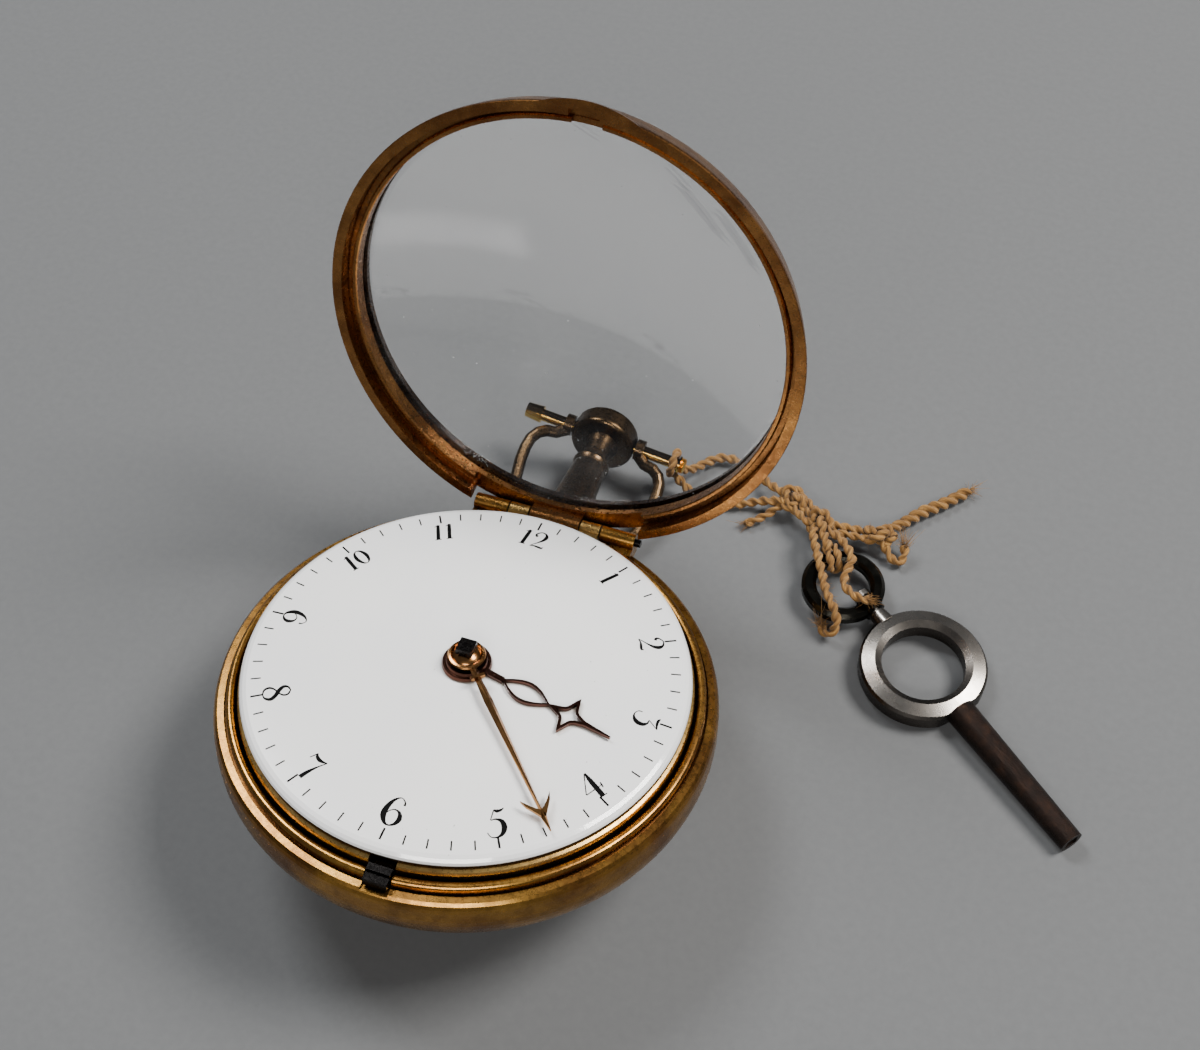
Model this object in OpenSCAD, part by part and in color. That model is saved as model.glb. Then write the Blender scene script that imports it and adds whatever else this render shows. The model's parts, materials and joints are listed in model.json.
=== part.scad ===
// Open-faced key-wound pocket watch lying on its domed back with its glazed bezel swung open, and its
// winding key tied to the bow with twine.  Watch parts are drawn in the watch's own frame: X to 3 o'clock,
// Y to 12 o'clock, Z out of the dial, zero at the dial's edge.  in_watch() then lays them down, so that the
// finished part stands on Z = 0.  The key and the twine are drawn straight in the part's frame.

/* [Resting pose] */
// How far the 12 o'clock side dips towards the table, in degrees
tilt = 8; // [6:0.5:10]
// How far the bezel has swung open from its seat, in degrees
bezel_open = 97.5; // [92:0.5:98]

/* [Case] */
// Largest radius of the case
case_r = 23.2; // [23:0.05:23.4]
// Height of the largest radius, below the dial's edge
case_wide_z = -4.5; // [-5:0.1:-4.3]
// Depth of the domed back below its largest radius
back_depth = 11; // [10.6:0.1:11.4]
// Thickness of the case wall
case_wall = 0.7; // [0.5:0.05:0.8]
// Radius of the key's hole in the back
winding_hole_r = 1.7; // [1.5:0.05:1.9]

/* [Dial] */
// Radius of the enamel dial
dial_r = 20.5; // [20.3:0.05:20.6]
// Height of the dial's middle above its edge
dial_rise = 1.3; // [1.1:0.05:1.35]

/* [Hands] */
// Length of the hour hand from its centre to its tip
hour_length = 15.2; // [14:0.1:16]
// Length of the minute hand from its centre to its tip
minute_length = 19.5; // [18.6:0.1:19.6]
// Direction of the hour hand, in degrees clockwise from 12
hour_direction = 103; // [0:1:359]
// Direction of the minute hand, in degrees clockwise from 12
minute_direction = 137; // [0:1:359]
// How far the minute hand droops towards the dial, in degrees
minute_droop = 3.4; // [3:0.1:3.4]

/* [Bezel] */
// Outer radius of the bezel
bezel_r = 22.95; // [22.85:0.05:23.05]
// Height of the crystal's dome above its seat
crystal_rise = 6.4; // [5.5:0.1:7]
// Thickness of the crystal
crystal_wall = 0.8; // [0.6:0.05:1]

/* [Pendant and bow] */
// Radius of the pendant's round head
head_r = 3.5; // [3.3:0.1:3.5]
// Thickness of the bow
bow_w = 1.3; // [1.1:0.1:1.3]
// How far the bow hangs below the pendant's line, in degrees
bow_hang = 23.5; // [22:0.5:24]

/* [Key] */
// Outer radius of the key's grip ring
grip_r = 6.4; // [6.2:0.1:6.5]
// Radius of the hole in the grip ring
grip_hole_r = 4.2; // [4:0.1:4.3]
// Thickness of the grip ring
grip_t = 2.4; // [2.2:0.1:2.6]
// Distance from the grip ring's middle to the end of the pipe
pipe_reach = 22.5; // [21:0.1:24]
// Width across the square hole that winds the watch
key_square = 1.3; // [1.1:0.1:1.4]

/* [Twine] */
// Diameter of the twine
twine_d = 1.2; // [1:0.1:1.3]

/* [Hidden] */
$fn = 64;
run_gap = 0.05;

// Where the watch stands: its back touches the table, and the origin is under the middle of its box.
back_touch = sqrt(pow(case_r * sin(tilt), 2) + pow(back_depth * cos(tilt), 2));
stand_z = back_touch - case_wide_z * cos(tilt);
stand_y = -8.05;

// Case heights and radii
rim_joint_z = -3.2;
rim_in_r = 21;
rim_top_z = -2.15;
lip_r = 21.9;
bush_r = 2.4;

// The hinge at 12 o'clock
hinge_x = 0.5;
hinge_y = 22;
hinge_z = -1.4;
knuckle_r = 0.85;
hinge_pin_r = 0.4;
outer_knuckle = [4.9, 8.4];
inner_knuckle = [2.75, 4.75];
middle_knuckle = 2.6;
hinge_cut_z = -0.45;

// The latch at 6 o'clock
latch_x = 0.7;
latch_w = 2.2;

// Pendant and bow
pendant_z = -5.2;
head_y = 39.1;
head_t = 2.6;
bow_roll = 8;
bow_pin_r = 0.65;
pin_end = 8.6;
tie_x = 7.95;
eye_r = 1.15;
eye_x = 3.6;
eye_w = 0.9;
// Half of the bow's run, from its eye to its lowest point: across the pin, and away from it
bow_half = [[4.05, -0.6], [5.1, -1.38], [6.1, -1.55], [6.9, -2.1], [7.4, -3], [7.55, -4.2], [7.5, -5.6],
    [7.3, -7], [7, -9], [6.3, -11.1], [5, -13], [2.7, -14.7], [0, -15.3]];

// Movement heights
plate_top_z = -2;
plate_low_z = -3;
back_plate_top_z = -8.2;
back_plate_low_z = -9.2;
plate_r = 20.3;
back_plate_r = 17.5;
pillar_at = 16;
pillar_r = 1;
dial_hole_r = 1.75;

// Motion work: 12 leaves drive 36 teeth, whose 12 leaves drive 48 teeth
cannon_teeth = 12;
minute_wheel_teeth = 36;
minute_pinion_teeth = 12;
hour_teeth = 48;
minute_module = 0.25;
hour_module = 0.2;
minute_wheel_at = 6;
minute_wheel_angle = 90;

// Great wheel on the fusee drives the centre pinion
great_teeth = 48;
centre_teeth = 12;
great_module = 0.3;
fusee_at = 9;
fusee_angle = -45;
fusee_xy = fusee_at * [cos(fusee_angle), sin(fusee_angle)];
barrel_xy = [-8.6, -6];
barrel_r = 6.5;
chain_z = -5.2;

// Balance under its cock, on the back plate
balance_y = 4;
balance_r = 7;
staff_r = 0.3;

// Key: its grip ring's middle, its direction and its dip
key_at = [38.85, 14.69, 1.6];
key_turn = -39;
key_dip = 1;
loop_at = [-12.03, -0.95, 0];
loop_r = 3.55;
loop_w = 1.5;
shank_r = 0.6;

// Twine routes, in the part's frame
main_route = [
    [7.85, 30.4, 2.8], [8.8, 30.95, 1.9], [9.7, 32, 1.2], [10.6, 33.4, 0.9], [11.9, 34.5, 0.9],
    [13.4, 34.7, 0.9], [15, 34.1, 0.9], [16.8, 33.1, 1.2], [18.6, 31.9, 1.7], [20.4, 31, 2.1], [21.9, 30.1, 2.2],
    [23.4, 28.9, 2.4], [24.7, 28.3, 2.5], [26.2, 28.6, 2.1], [27.9, 29.1, 1.6], [29.4, 29.3, 1.5],
    [30.6, 29.5, 1.6], [31.7, 30.6, 1.3], [32.9, 32.1, 0.9], [34.5, 34.2, 0.8], [36.3, 36, 0.75],
    [38.6, 38.6, 0.7],
];
return_route = [
    [20.6, 30.2, 2.1], [19.2, 30, 1.8], [17.6, 29.9, 1.2], [16.1, 29.4, 0.8], [14.3, 28.7, 0.7],
    [12.6, 28.4, 0.7], [11.1, 28.5, 0.8], [10, 28.8, 1.3], [9, 29.1, 2], [7.95, 29.5, 2.7],
];
hanger_route = [[24.9, 27.4, 2.9], [25.5, 26.3, 3.3], [26.1, 25.2, 3.5], [26.6, 24.3, 3.4]];
knot_1_at = [21.2, 30.5, 2];
knot_2_at = [24.7, 27.9, 2.7];
knot_3_at = [30.9, 29.1, 1.75];
end_1_route = [[20.4, 30.1, 1.9], [19.6, 29.5, 1.4], [19, 28.8, 1], [18.2, 28, 0.8], [17.5, 27.4, 0.7],
    [16.9, 26.9, 0.7]];
end_2_route = [[24.4, 27.4, 2.9], [24.4, 26.2, 3.3], [24.8, 25, 3.4], [25.6, 23.4, 3.4], [26.5, 21.6, 3.3],
    [27.3, 19.9, 3.25], [28.1, 18.6, 3.3], [28.9, 17.5, 3.2], [29.4, 16.6, 2.4], [29.2, 16, 1.3]];
end_3_route = [[25.2, 27.2, 3], [26.9, 26.5, 3.3], [28.2, 25.3, 3.5], [29.1, 23.9, 3.4], [28.9, 22.3, 3.25],
    [29.1, 20.8, 3.25], [30.2, 19.9, 3.3], [31.2, 19.6, 3.3], [31.9, 19.6, 3.45]];
end_4_route = [[31, 28.6, 1.7], [32, 27.9, 1.3], [32.9, 27.3, 0.9], [33.9, 26.9, 0.8]];

// ---- helpers ----

// Points of an arc about (x, y), from angle a to angle b
function arc(x, y, r, a, b, n = 10) =
    [for (i = [0:n]) let (t = a + (b - a) * i / n) [x + r * cos(t), y + r * sin(t)]];

// Points of a quarter of an ellipse about (0, z), for a profile that is turned about Z
function quarter(r, depth, z, a, b, n = 28) =
    [for (i = [0:n]) let (t = a + (b - a) * i / n) [max(0, r * cos(t)), z + depth * sin(t)]];

module in_watch() {
    translate([0, stand_y, stand_z]) rotate([-tilt, 0, 0]) children();
}

module about_hinge(angle) {
    translate([0, hinge_y, hinge_z]) rotate([angle, 0, 0]) translate([0, -hinge_y, -hinge_z]) children();
}

module in_bezel() {
    in_watch() about_hinge(-bezel_open) children();
}

// A cylinder along X from x0 to x1 on the hinge line
module on_hinge(x0, x1, r) {
    translate([hinge_x + x0, hinge_y, hinge_z]) rotate([0, 90, 0]) cylinder(h = x1 - x0, r = r);
}

module turned(points) {
    rotate_extrude($fn = 96) polygon(points);
}

module tube(r_out, r_in, z0, z1) {
    translate([0, 0, z0]) difference() {
        cylinder(h = z1 - z0, r = r_out);
        translate([0, 0, -1]) cylinder(h = z1 - z0 + 2, r = r_in);
    }
}

module rod(r, z0, z1) {
    translate([0, 0, z0]) cylinder(h = z1 - z0, r = r);
}

// A toothed wheel's outline, with one tooth centred on +X
module teeth_2d(teeth, mod) {
    pitch = 360 / teeth;
    root = mod * teeth / 2 - 1.15 * mod;
    tip = mod * teeth / 2 + 0.8 * mod;
    polygon([for (i = [0:teeth - 1]) for (p = [[root, -0.3], [tip, -0.1], [tip, 0.1], [root, 0.3]])
        p[0] * [cos((i + p[1]) * pitch), sin((i + p[1]) * pitch)]]);
}

module toothed(teeth, mod, z0, z1, bore_r) {
    translate([0, 0, z0]) difference() {
        linear_extrude(z1 - z0) teeth_2d(teeth, mod);
        translate([0, 0, -1]) cylinder(h = z1 - z0 + 2, r = bore_r);
    }
}

// Clock direction to a turn about Z: a shape drawn along +Y then points at that hour
module clockwise(degrees) {
    rotate([0, 0, -degrees]) children();
}

// Rings of a tube swept along a route, each square to the way the route runs
function along(p, i) = let (n = len(p) - 1, d = p[min(i + 1, n)] - p[max(i - 1, 0)]) d / norm(d);
function across(t) = let (s = cross(t, [0, 0, 1])) s / norm(s);
function ring_points(p, i, r, sides) =
    let (t = along(p, i), s = across(t), u = cross(s, t))
    [for (k = [0:sides - 1]) p[i] + r * (cos(360 * k / sides) * s + sin(360 * k / sides) * u)];

module swept(route, d, sides = 8) {
    count = len(route);
    points = [for (i = [0:count - 1]) each ring_points(route, i, d / 2, sides)];
    walls = [for (i = [0:count - 2]) for (k = [0:sides - 1])
        [i * sides + k, i * sides + (k + 1) % sides, (i + 1) * sides + (k + 1) % sides, (i + 1) * sides + k]];
    first = [for (k = [sides - 1:-1:0]) k];
    last = [for (k = [0:sides - 1]) (count - 1) * sides + k];
    polyhedron(points, concat(walls, [first, last]), convexity = 4);
}

// ---- case ----

module case_back() {
    color("#9c7a45") in_watch() difference() {
        union() {
            turned(concat(
                [[case_r - 0.05, rim_joint_z]],
                quarter(case_r, back_depth, case_wide_z, 0, -90),
                quarter(case_r - case_wall, back_depth - case_wall, case_wide_z, -90, 0),
                [[case_r - case_wall - 0.05, rim_joint_z]]));
            translate([fusee_xy[0], fusee_xy[1], -15.1]) cylinder(h = 2, r = bush_r);
        }
        translate([fusee_xy[0], fusee_xy[1], -17]) cylinder(h = 6, r = winding_hole_r);
    }
}

module case_rim() {
    color("#b58a4c") in_watch() difference() {
        union() {
            difference() {
                turned(concat(
                    [[rim_in_r, rim_joint_z], [rim_in_r, -1.75]],
                    arc(21.45, -1.75, 0.45, 180, 0),
                    [[lip_r, -2.5], [22.1, -2.5], [22.1, rim_top_z], [22.7, rim_top_z - 0.05]],
                    [[22.95, -2.45], [case_r - 0.1, -2.8], [case_r - 0.05, rim_joint_z]]));
                // room for the moving knuckles
                translate([hinge_x - 4.85, 19, -2.7]) cube([9.7, 6, 4]);
                // room for the latch
                translate([latch_x - latch_w / 2 - 0.15, -24, -2.35]) cube([latch_w + 0.3, 4, 3]);
            }
            for (side = [-1, 1]) {
                x0 = side < 0 ? -outer_knuckle[1] : outer_knuckle[0];
                on_hinge(x0, x0 + outer_knuckle[1] - outer_knuckle[0], knuckle_r);
                difference() {
                    translate([hinge_x + x0, 20.2, rim_joint_z])
                        cube([outer_knuckle[1] - outer_knuckle[0], 2.6, 1.6]);
                    translate([0, 0, -5]) cylinder(h = 6, r = rim_in_r);
                }
            }
        }
        on_hinge(-12, 12, hinge_pin_r);
    }
}

module hinge_pin() {
    color("#3a332c") in_watch() on_hinge(-8.5, 9, hinge_pin_r);
}

// ---- pendant and bow ----

// The pendant's own frame: its length runs along +Y from the middle of its head
module on_pendant() {
    in_watch() translate([0, head_y, pendant_z]) rotate([0, bow_roll, 0]) children();
}

module pendant() {
    color("#5a4630") on_pendant() difference() {
        rotate([90, 0, 0]) {
            // rounded head
            rotate_extrude($fn = 96) polygon(concat(
                [[0, -head_t / 2], [head_r - 0.9, -head_t / 2], [head_r - 0.6, -head_t / 2 + 0.15]],
                arc(head_r - 0.45, -head_t / 2 + 0.55, 0.45, -80, 0, 6),
                arc(head_r - 0.5, head_t / 2 - 0.5, 0.5, 0, 90, 6),
                [[0, head_t / 2]]));
            // stem, ring moulding and flared foot
            rotate_extrude($fn = 96) polygon([
                [0, 0], [1.9, 0], [1.9, head_t / 2], [1.55, 2], [1.45, 3], [1.5, 4.2], [1.95, 4.4], [2, 4.7],
                [1.9, 5], [1.8, 5.2], [2, 8], [2.2, 11], [2.4, 13.5], [2.5, 15], [2.5, 15.85], [0, 15.85]]);
        }
        rotate([0, 90, 0]) cylinder(h = 20, r = bow_pin_r, center = true);
        // the foot's end follows the case wall
        rotate([0, -bow_roll, 0]) translate([0, -head_y, -pendant_z]) turned([[0, rim_joint_z],
            [case_r - 0.05, rim_joint_z], [case_r, case_wide_z], [case_r - 0.35, case_wide_z - 2],
            [case_r - 1.2, case_wide_z - 3.6], [0, case_wide_z - 3.6]]);
    }
}

module bow_pin() {
    color("#b08a48") on_pendant() {
        rotate([0, 90, 0]) {
            translate([0, 0, -pin_end]) cylinder(h = 2 * pin_end, r = bow_pin_r);
            // plain end on the left, ribbed end on the right
            translate([0, 0, -pin_end - 0.4]) cylinder(h = 1.8, r1 = 0.8, r2 = 0.95);
            translate([0, 0, pin_end]) rotate_extrude() polygon([[0, -0.1], [0.95, -0.1], [0.95, 0.1],
                [0.75, 0.2], [0.95, 0.3], [0.75, 0.4], [0.9, 0.5], [0.6, 0.65], [0, 0.65]]);
        }
    }
}

module bow() {
    route = concat([for (p = bow_half) [p[0], p[1], 0]],
        [for (i = [len(bow_half) - 2:-1:0]) [-bow_half[i][0], bow_half[i][1], 0]]);
    color("#4f3d2a") on_pendant() rotate([bow_hang, 0, 0]) difference() {
        union() {
            swept(route, bow_w, 16);
            for (side = [-1, 1]) translate([side * (eye_x + eye_w / 2), 0, 0])
                rotate([0, 90, 0]) cylinder(h = eye_w, r = eye_r, center = true);
        }
        rotate([0, 90, 0]) cylinder(h = 20, r = bow_pin_r + run_gap, center = true);
    }
}

// ---- bezel ----

module bezel_ring() {
    lip_reach = 10;
    color("#b9813f") in_bezel() difference() {
        union() {
            turned([[21.98, -2.1], [bezel_r - 0.06, -2.1], [bezel_r, -2.04], [bezel_r - 0.02, -1.75],
                [bezel_r - 0.15, -1.3], [bezel_r - 0.35, -0.7], [bezel_r - 0.55, 0], [bezel_r - 0.8, 0.7],
                [bezel_r - 1.15, 1.3], [bezel_r - 1.6, 1.7], [21, 1.85], [20.85, 1.75], [20.85, 1.15],
                [21.35, 1.15], [21.35, 0.35], [20.95, 0.35], [20.86, 0.25], [20.86, -1.05], [20.96, -1.15],
                [21.22, -1.15], [21.35, -1], [21.4, -0.6], [21.9, -0.6], [21.98, -0.7]]);
            // thumb lip at 6 o'clock
            difference() {
                translate([latch_x, lip_reach - bezel_r - 0.65, -2.1])
                    cylinder(h = 0.5, r1 = lip_reach, r2 = lip_reach - 0.2, $fn = 128);
                rod(22.5, -3, 0);
            }
        }
        translate([hinge_x - 8.8, 18.8, -3]) cube([17.6, 6, 3 + hinge_cut_z]);
        // pocket that passes over the latch
        translate([latch_x - latch_w / 2 - 0.3, -22.6, -2.5]) cube([latch_w + 0.6, 2, 1.8]);
    }
}

module bezel_joint() {
    color("#c08d58") in_bezel() difference() {
        union() {
            on_hinge(-middle_knuckle, middle_knuckle, knuckle_r);
            translate([hinge_x - middle_knuckle, hinge_y - knuckle_r, hinge_z])
                cube([2 * middle_knuckle, 2 * knuckle_r - 0.5, hinge_cut_z - hinge_z]);
        }
        on_hinge(-12, 12, hinge_pin_r + run_gap);
    }
}

module crystal() {
    seat_r = 21.3;
    seat_z = 0.4;
    skirt = 1.5;
    edge_r = 20.8;
    edge_in_r = 20.35;
    bulge = crystal_rise - skirt;
    dome_r = (pow(edge_r, 2) + pow(bulge, 2)) / (2 * bulge);
    dome_z = seat_z + crystal_rise - dome_r;
    edge = acos(edge_r / dome_r);
    edge_in = acos(edge_in_r / (dome_r - crystal_wall));
    color([0.85, 0.9, 0.92, 0.3]) in_bezel() turned(concat(
        [[edge_in_r + 0.05, seat_z], [seat_r, seat_z], [seat_r, seat_z + 0.7], [edge_r, seat_z + 0.7],
        [edge_r, seat_z + skirt - 0.15]],
        arc(0, dome_z, dome_r, edge, 90, 32),
        arc(0, dome_z, dome_r - crystal_wall, 90, edge_in, 32)));
}

// ---- dial and hands ----

module dial() {
    flat_r = dial_r - 0.7;
    edge_z = 0.6;
    top = [for (i = [0:16]) let (r = dial_hole_r + (flat_r - dial_hole_r) * i / 16)
        [r, dial_rise - (dial_rise - edge_z) * pow(r / flat_r, 2)]];
    low = [for (i = [12:-1:0]) let (r = dial_hole_r + (flat_r - dial_hole_r) * i / 12)
        [r, 0.45 - 0.95 * pow(r / flat_r, 2)]];
    color("#ece9e2") in_watch() turned(concat(top, [[dial_r - 0.35, 0.45], [dial_r - 0.1, 0.22], [dial_r, 0],
        [dial_r - 0.1, -0.25], [dial_r - 0.35, -0.42]], low));
}

// One closed loop of a pierced hand, between two points on the hand's line
module lens_2d(y0, y1, half_w, wire) {
    side = [for (i = [0:12]) [half_w * sin(15 * i), y0 + (y1 - y0) * i / 12]];
    inner = [for (i = [0:12]) [(half_w - wire) * sin(15 * i), y0 + wire + (y1 - y0 - 2 * wire) * i / 12]];
    difference() {
        polygon(concat(side, [for (i = [12:-1:0]) [-side[i][0], side[i][1]]]));
        polygon(concat(inner, [for (i = [12:-1:0]) [-inner[i][0], inner[i][1]]]));
    }
}

// Four-point star with hollow sides
function star(cy, a, b, hollow) = [for (q = [0:3]) for (i = [0:7]) let (t = i / 8,
    p = [[b, 0], [0, a], [-b, 0], [0, -a]][q], n = [[0, a], [-b, 0], [0, -a], [b, 0]][q],
    m = p * (1 - t) + n * t) m * (1 - hollow * sin(180 * t)) + [0, cy]];

module hour_hand() {
    lens = [3.8, 8.8];
    star_y = 10.9;
    star_half = 2.1;
    wire = 0.27;
    hour_droop = 1.3;
    color("#7d5137") in_watch() clockwise(hour_direction) translate([0, 0, 1.45]) {
        difference() {
            union() {
                rotate([-hour_droop, 0, 0]) linear_extrude(0.35) {
                    translate([-0.28, 1]) square([0.56, lens[0] - 0.85]);
                    lens_2d(lens[0], lens[1] + 0.1, 1.15, wire);
                    difference() {
                        polygon(star(star_y, star_half + 0.1, 2.1, 0.4));
                        offset(delta = -wire) polygon(star(star_y, star_half + 0.1, 2.1, 0.4));
                    }
                    polygon([[-0.22, star_y + star_half - 0.5], [0.22, star_y + star_half - 0.5],
                        [0.07, hour_length], [-0.07, hour_length]]);
                }
                cylinder(h = 0.3, r1 = 2.3, r2 = 2.2);
                cylinder(h = 0.6, r1 = 2.1, r2 = 1.85);
            }
            translate([0, 0, -1]) cylinder(h = 3, r = 1.45);
        }
    }
}

// A ridged blade along +Y, from sections of [how far along, half width, height of the ridge]
module ridged(sections) {
    count = len(sections);
    points = [for (p = sections) each [[-p[1], p[0], 0], [p[1], p[0], 0], [p[1] * 0.2, p[0], p[2]],
        [-p[1] * 0.2, p[0], p[2]]]];
    walls = [for (i = [0:count - 2]) for (k = [0:3])
        [4 * i + k, 4 * i + (k + 1) % 4, 4 * i + 4 + (k + 1) % 4, 4 * i + 4 + k]];
    polyhedron(points, concat([[3, 2, 1, 0]], walls, [[for (k = [0:3]) 4 * count - 4 + k]]), convexity = 4);
}

module minute_hand() {
    barb_y = minute_length - 1.75;
    color("#9a6340") in_watch() clockwise(minute_direction) translate([0, 0, 2.45]) {
        difference() {
            union() {
                rotate([-minute_droop, 0, 0]) {
                    ridged([[0.7, 0.33, 0.35], [3, 0.3, 0.35], [5.2, 0.4, 0.42], [8, 0.34, 0.38],
                        [barb_y - 0.6, 0.15, 0.3], [barb_y, 0.3, 0.3], [minute_length, 0.05, 0.2]]);
                    translate([-0.65, 2.55, 0]) cube([1.3, 0.3, 0.42]);
                    // curved barbs
                    for (side = [-1, 1]) linear_extrude(0.28) polygon([
                        [0, barb_y - 0.3], [side * 0.35, barb_y - 0.6], [side * 0.8, barb_y - 1.05],
                        [side * 1.35, barb_y - 1.75], [side * 1.1, barb_y - 1.05],
                        [side * 0.7, barb_y - 0.45], [side * 0.25, barb_y + 0.25]]);
                }
                rotate_extrude() polygon(concat([[0, 0], [1.7, 0], [1.75, 0.12], [1.65, 0.25], [1.45, 0.3]],
                    arc(0, -1.05, 1.8, 42, 90, 8)));
            }
            translate([0, 0, -1]) cylinder(h = 4, r = 0.6);
        }
    }
}

// ---- motion work ----

module hour_wheel() {
    color("#c39a55") in_watch() {
        tube(1.45, 1.05, -0.35, 2.05);
        rotate([0, 0, minute_wheel_angle]) toothed(hour_teeth, hour_module, -0.75, -0.35, 1.05);
    }
}

module cannon_pinion() {
    color("#6d675f") in_watch() {
        tube(0.95, 0.6, -1.3, 2.45);
        rotate([0, 0, minute_wheel_angle]) toothed(cannon_teeth, minute_module, -1.75, -1.3, 0.6);
    }
}

module centre_arbor() {
    color("#26221f") in_watch() {
        rod(0.6, -8.6, 3.3);
        translate([0, 0, 3.55]) cube([1.5, 1.5, 0.7], center = true);
        rotate([0, 0, fusee_angle]) toothed(centre_teeth, great_module, -7.7, -6.8, 0.3);
    }
}

module minute_wheel() {
    color("#c39a55") in_watch() rotate([0, 0, minute_wheel_angle]) translate([minute_wheel_at, 0, 0]) {
        rotate([0, 0, 180 + 180 / minute_wheel_teeth])
            toothed(minute_wheel_teeth, minute_module, -1.75, -1.3, 0.45);
        rotate([0, 0, 180 + 180 / minute_pinion_teeth])
            toothed(minute_pinion_teeth, hour_module, -1.3, -0.25, 0.45);
    }
}

module minute_wheel_stud() {
    color("#6d675f") in_watch() rotate([0, 0, minute_wheel_angle]) translate([minute_wheel_at, 0, 0])
        rod(0.45 - run_gap, plate_top_z, -0.1);
}

// ---- movement frame ----

module movement_ring() {
    color("#b9904e") in_watch() difference() {
        union() {
            turned([[19.5, plate_top_z], [20.75, plate_top_z], [20.8, -1.1], [20.7, -0.75], [20.45, -0.62],
                [19.5, -0.62]]);
            for (side = [-1, 1]) {
                x0 = side < 0 ? -inner_knuckle[1] : inner_knuckle[0];
                on_hinge(x0, x0 + inner_knuckle[1] - inner_knuckle[0], knuckle_r);
                translate([hinge_x + x0, 19.9, -1.9]) cube([inner_knuckle[1] - inner_knuckle[0], 1.7, 0.95]);
            }
        }
        on_hinge(-12, 12, hinge_pin_r + run_gap);
        translate([latch_x - latch_w / 2 - 0.15, -22, plate_top_z - 1]) {
            cube([latch_w + 0.3, 4, 2]);
            cube([latch_w + 0.3, 1.95, 3]);
        }
    }
}

module pillar_plate() {
    color("#b9904e") in_watch() difference() {
        rod(plate_r, plate_low_z, plate_top_z);
        rod(0.6 + run_gap, plate_low_z - 1, plate_top_z + 1);
    }
}

module pillar(angle) {
    color("#c39a55") in_watch() rotate([0, 0, angle]) translate([pillar_at - 1, 0, 0])
        rotate_extrude($fn = 48) polygon([[0, plate_low_z], [1.3, plate_low_z], [1.3, -3.5],
            [pillar_r - 0.3, -4], [pillar_r, -5.6], [pillar_r - 0.3, -7.2], [1.3, -7.7],
            [1.3, back_plate_top_z], [0, back_plate_top_z]]);
}

module pillar_1() { pillar(0); }
module pillar_2() { pillar(90); }
module pillar_3() { pillar(180); }
module pillar_4() { pillar(270); }

module back_plate() {
    color("#c39a55") in_watch() difference() {
        rod(back_plate_r, back_plate_low_z, back_plate_top_z);
        rod(0.6 + run_gap, back_plate_low_z - 1, back_plate_top_z + 1);
        translate(fusee_xy) rod(0.9 + run_gap, back_plate_low_z - 1, back_plate_top_z + 1);
        translate(barrel_xy) rod(0.6 + run_gap, back_plate_low_z - 1, back_plate_top_z + 1);
        translate([0, balance_y]) rod(staff_r + 0.2, back_plate_low_z - 1, back_plate_top_z + 1);
    }
}

module plate_pins() {
    color("#c39a55") in_watch() for (a = [0:90:270]) rotate([0, 0, a]) translate([pillar_at - 1, 0, 0])
        rod(0.6, back_plate_low_z - 0.6, back_plate_low_z);
}

module balance_cock() {
    low = -12.1;
    color("#c9a25a") in_watch() difference() {
        union() {
            translate([0, balance_y]) rod(7.8, low, low + 0.6);
            translate([-2.2, -6.8, low]) cube([4.4, 5, 0.6]);
            translate([-2.2, -6.8, low]) cube([4.4, 3.4, back_plate_low_z - low]);
        }
        translate([0, balance_y]) {
            for (a = [0:60:300]) rotate([0, 0, a]) translate([4.9, 0]) rod(1.5, low - 1, low + 2);
            rod(staff_r + run_gap, low - 1, low + 2);
        }
    }
}

module cock_screw() {
    color("#3d4a66") in_watch() translate([0, -5.1, -12.6]) difference() {
        cylinder(h = 0.5, r = 1.1);
        translate([-2, -0.15, -0.5]) cube([4, 0.3, 0.75]);
    }
}

module fusee_chain() {
    start = barrel_xy + [0, -barrel_r - 0.35];
    finish = fusee_xy + [0, -5.1];
    run = finish - start;
    color("#6d675f") in_watch() translate([start[0], start[1], chain_z]) rotate([0, 0, atan2(run[1], run[0])])
        translate([0, -0.2, -0.4]) cube([norm(run), 0.4, 0.8]);
}

// ---- latch and train ----

module latch_bolt() {
    color("#1f1d1b") in_watch() translate([latch_x, 0, 0]) {
        translate([-latch_w / 2 + 0.2, -21.8, -1.95]) cube([latch_w - 0.4, 4, 0.6]);
        translate([-latch_w / 2, -22.4, -2.05]) cube([latch_w, 0.9, 0.9]);
        translate([-latch_w / 2, -21.6, -1.6]) cube([latch_w, 0.7, 0.75]);
    }
}

module great_wheel() {
    color("#c39a55") in_watch() translate(fusee_xy) rotate([0, 0, fusee_angle + 180 + 180 / great_teeth])
        toothed(great_teeth, great_module, -7.6, -6.9, 0.6);
}

module fusee() {
    steps = 6;
    color("#c39a55") in_watch() translate(fusee_xy) {
        rotate_extrude($fn = 48) polygon(concat([[0, -3.3], [2.9, -3.3]],
            [for (i = [0:steps - 1]) each [[3 + 0.45 * i, -3.4 - 0.5 * i], [2.8 + 0.45 * i, -3.65 - 0.5 * i]]],
            [[5.6, -6.4], [5.6, -6.9], [0, -6.9]]));
        rod(0.6, -8, -6.9);
        rod(0.9, -9.3, -8);
        translate([0, 0, -10.4]) cube([key_square - 0.1, key_square - 0.1, 2.4], center = true);
    }
}

module barrel() {
    color("#c39a55") in_watch() translate(barrel_xy) {
        rod(barrel_r, -7.6, -3.5);
        rod(0.6, -9, -7.6);
        rod(0.6, -3.5, -3.1);
    }
}

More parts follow.
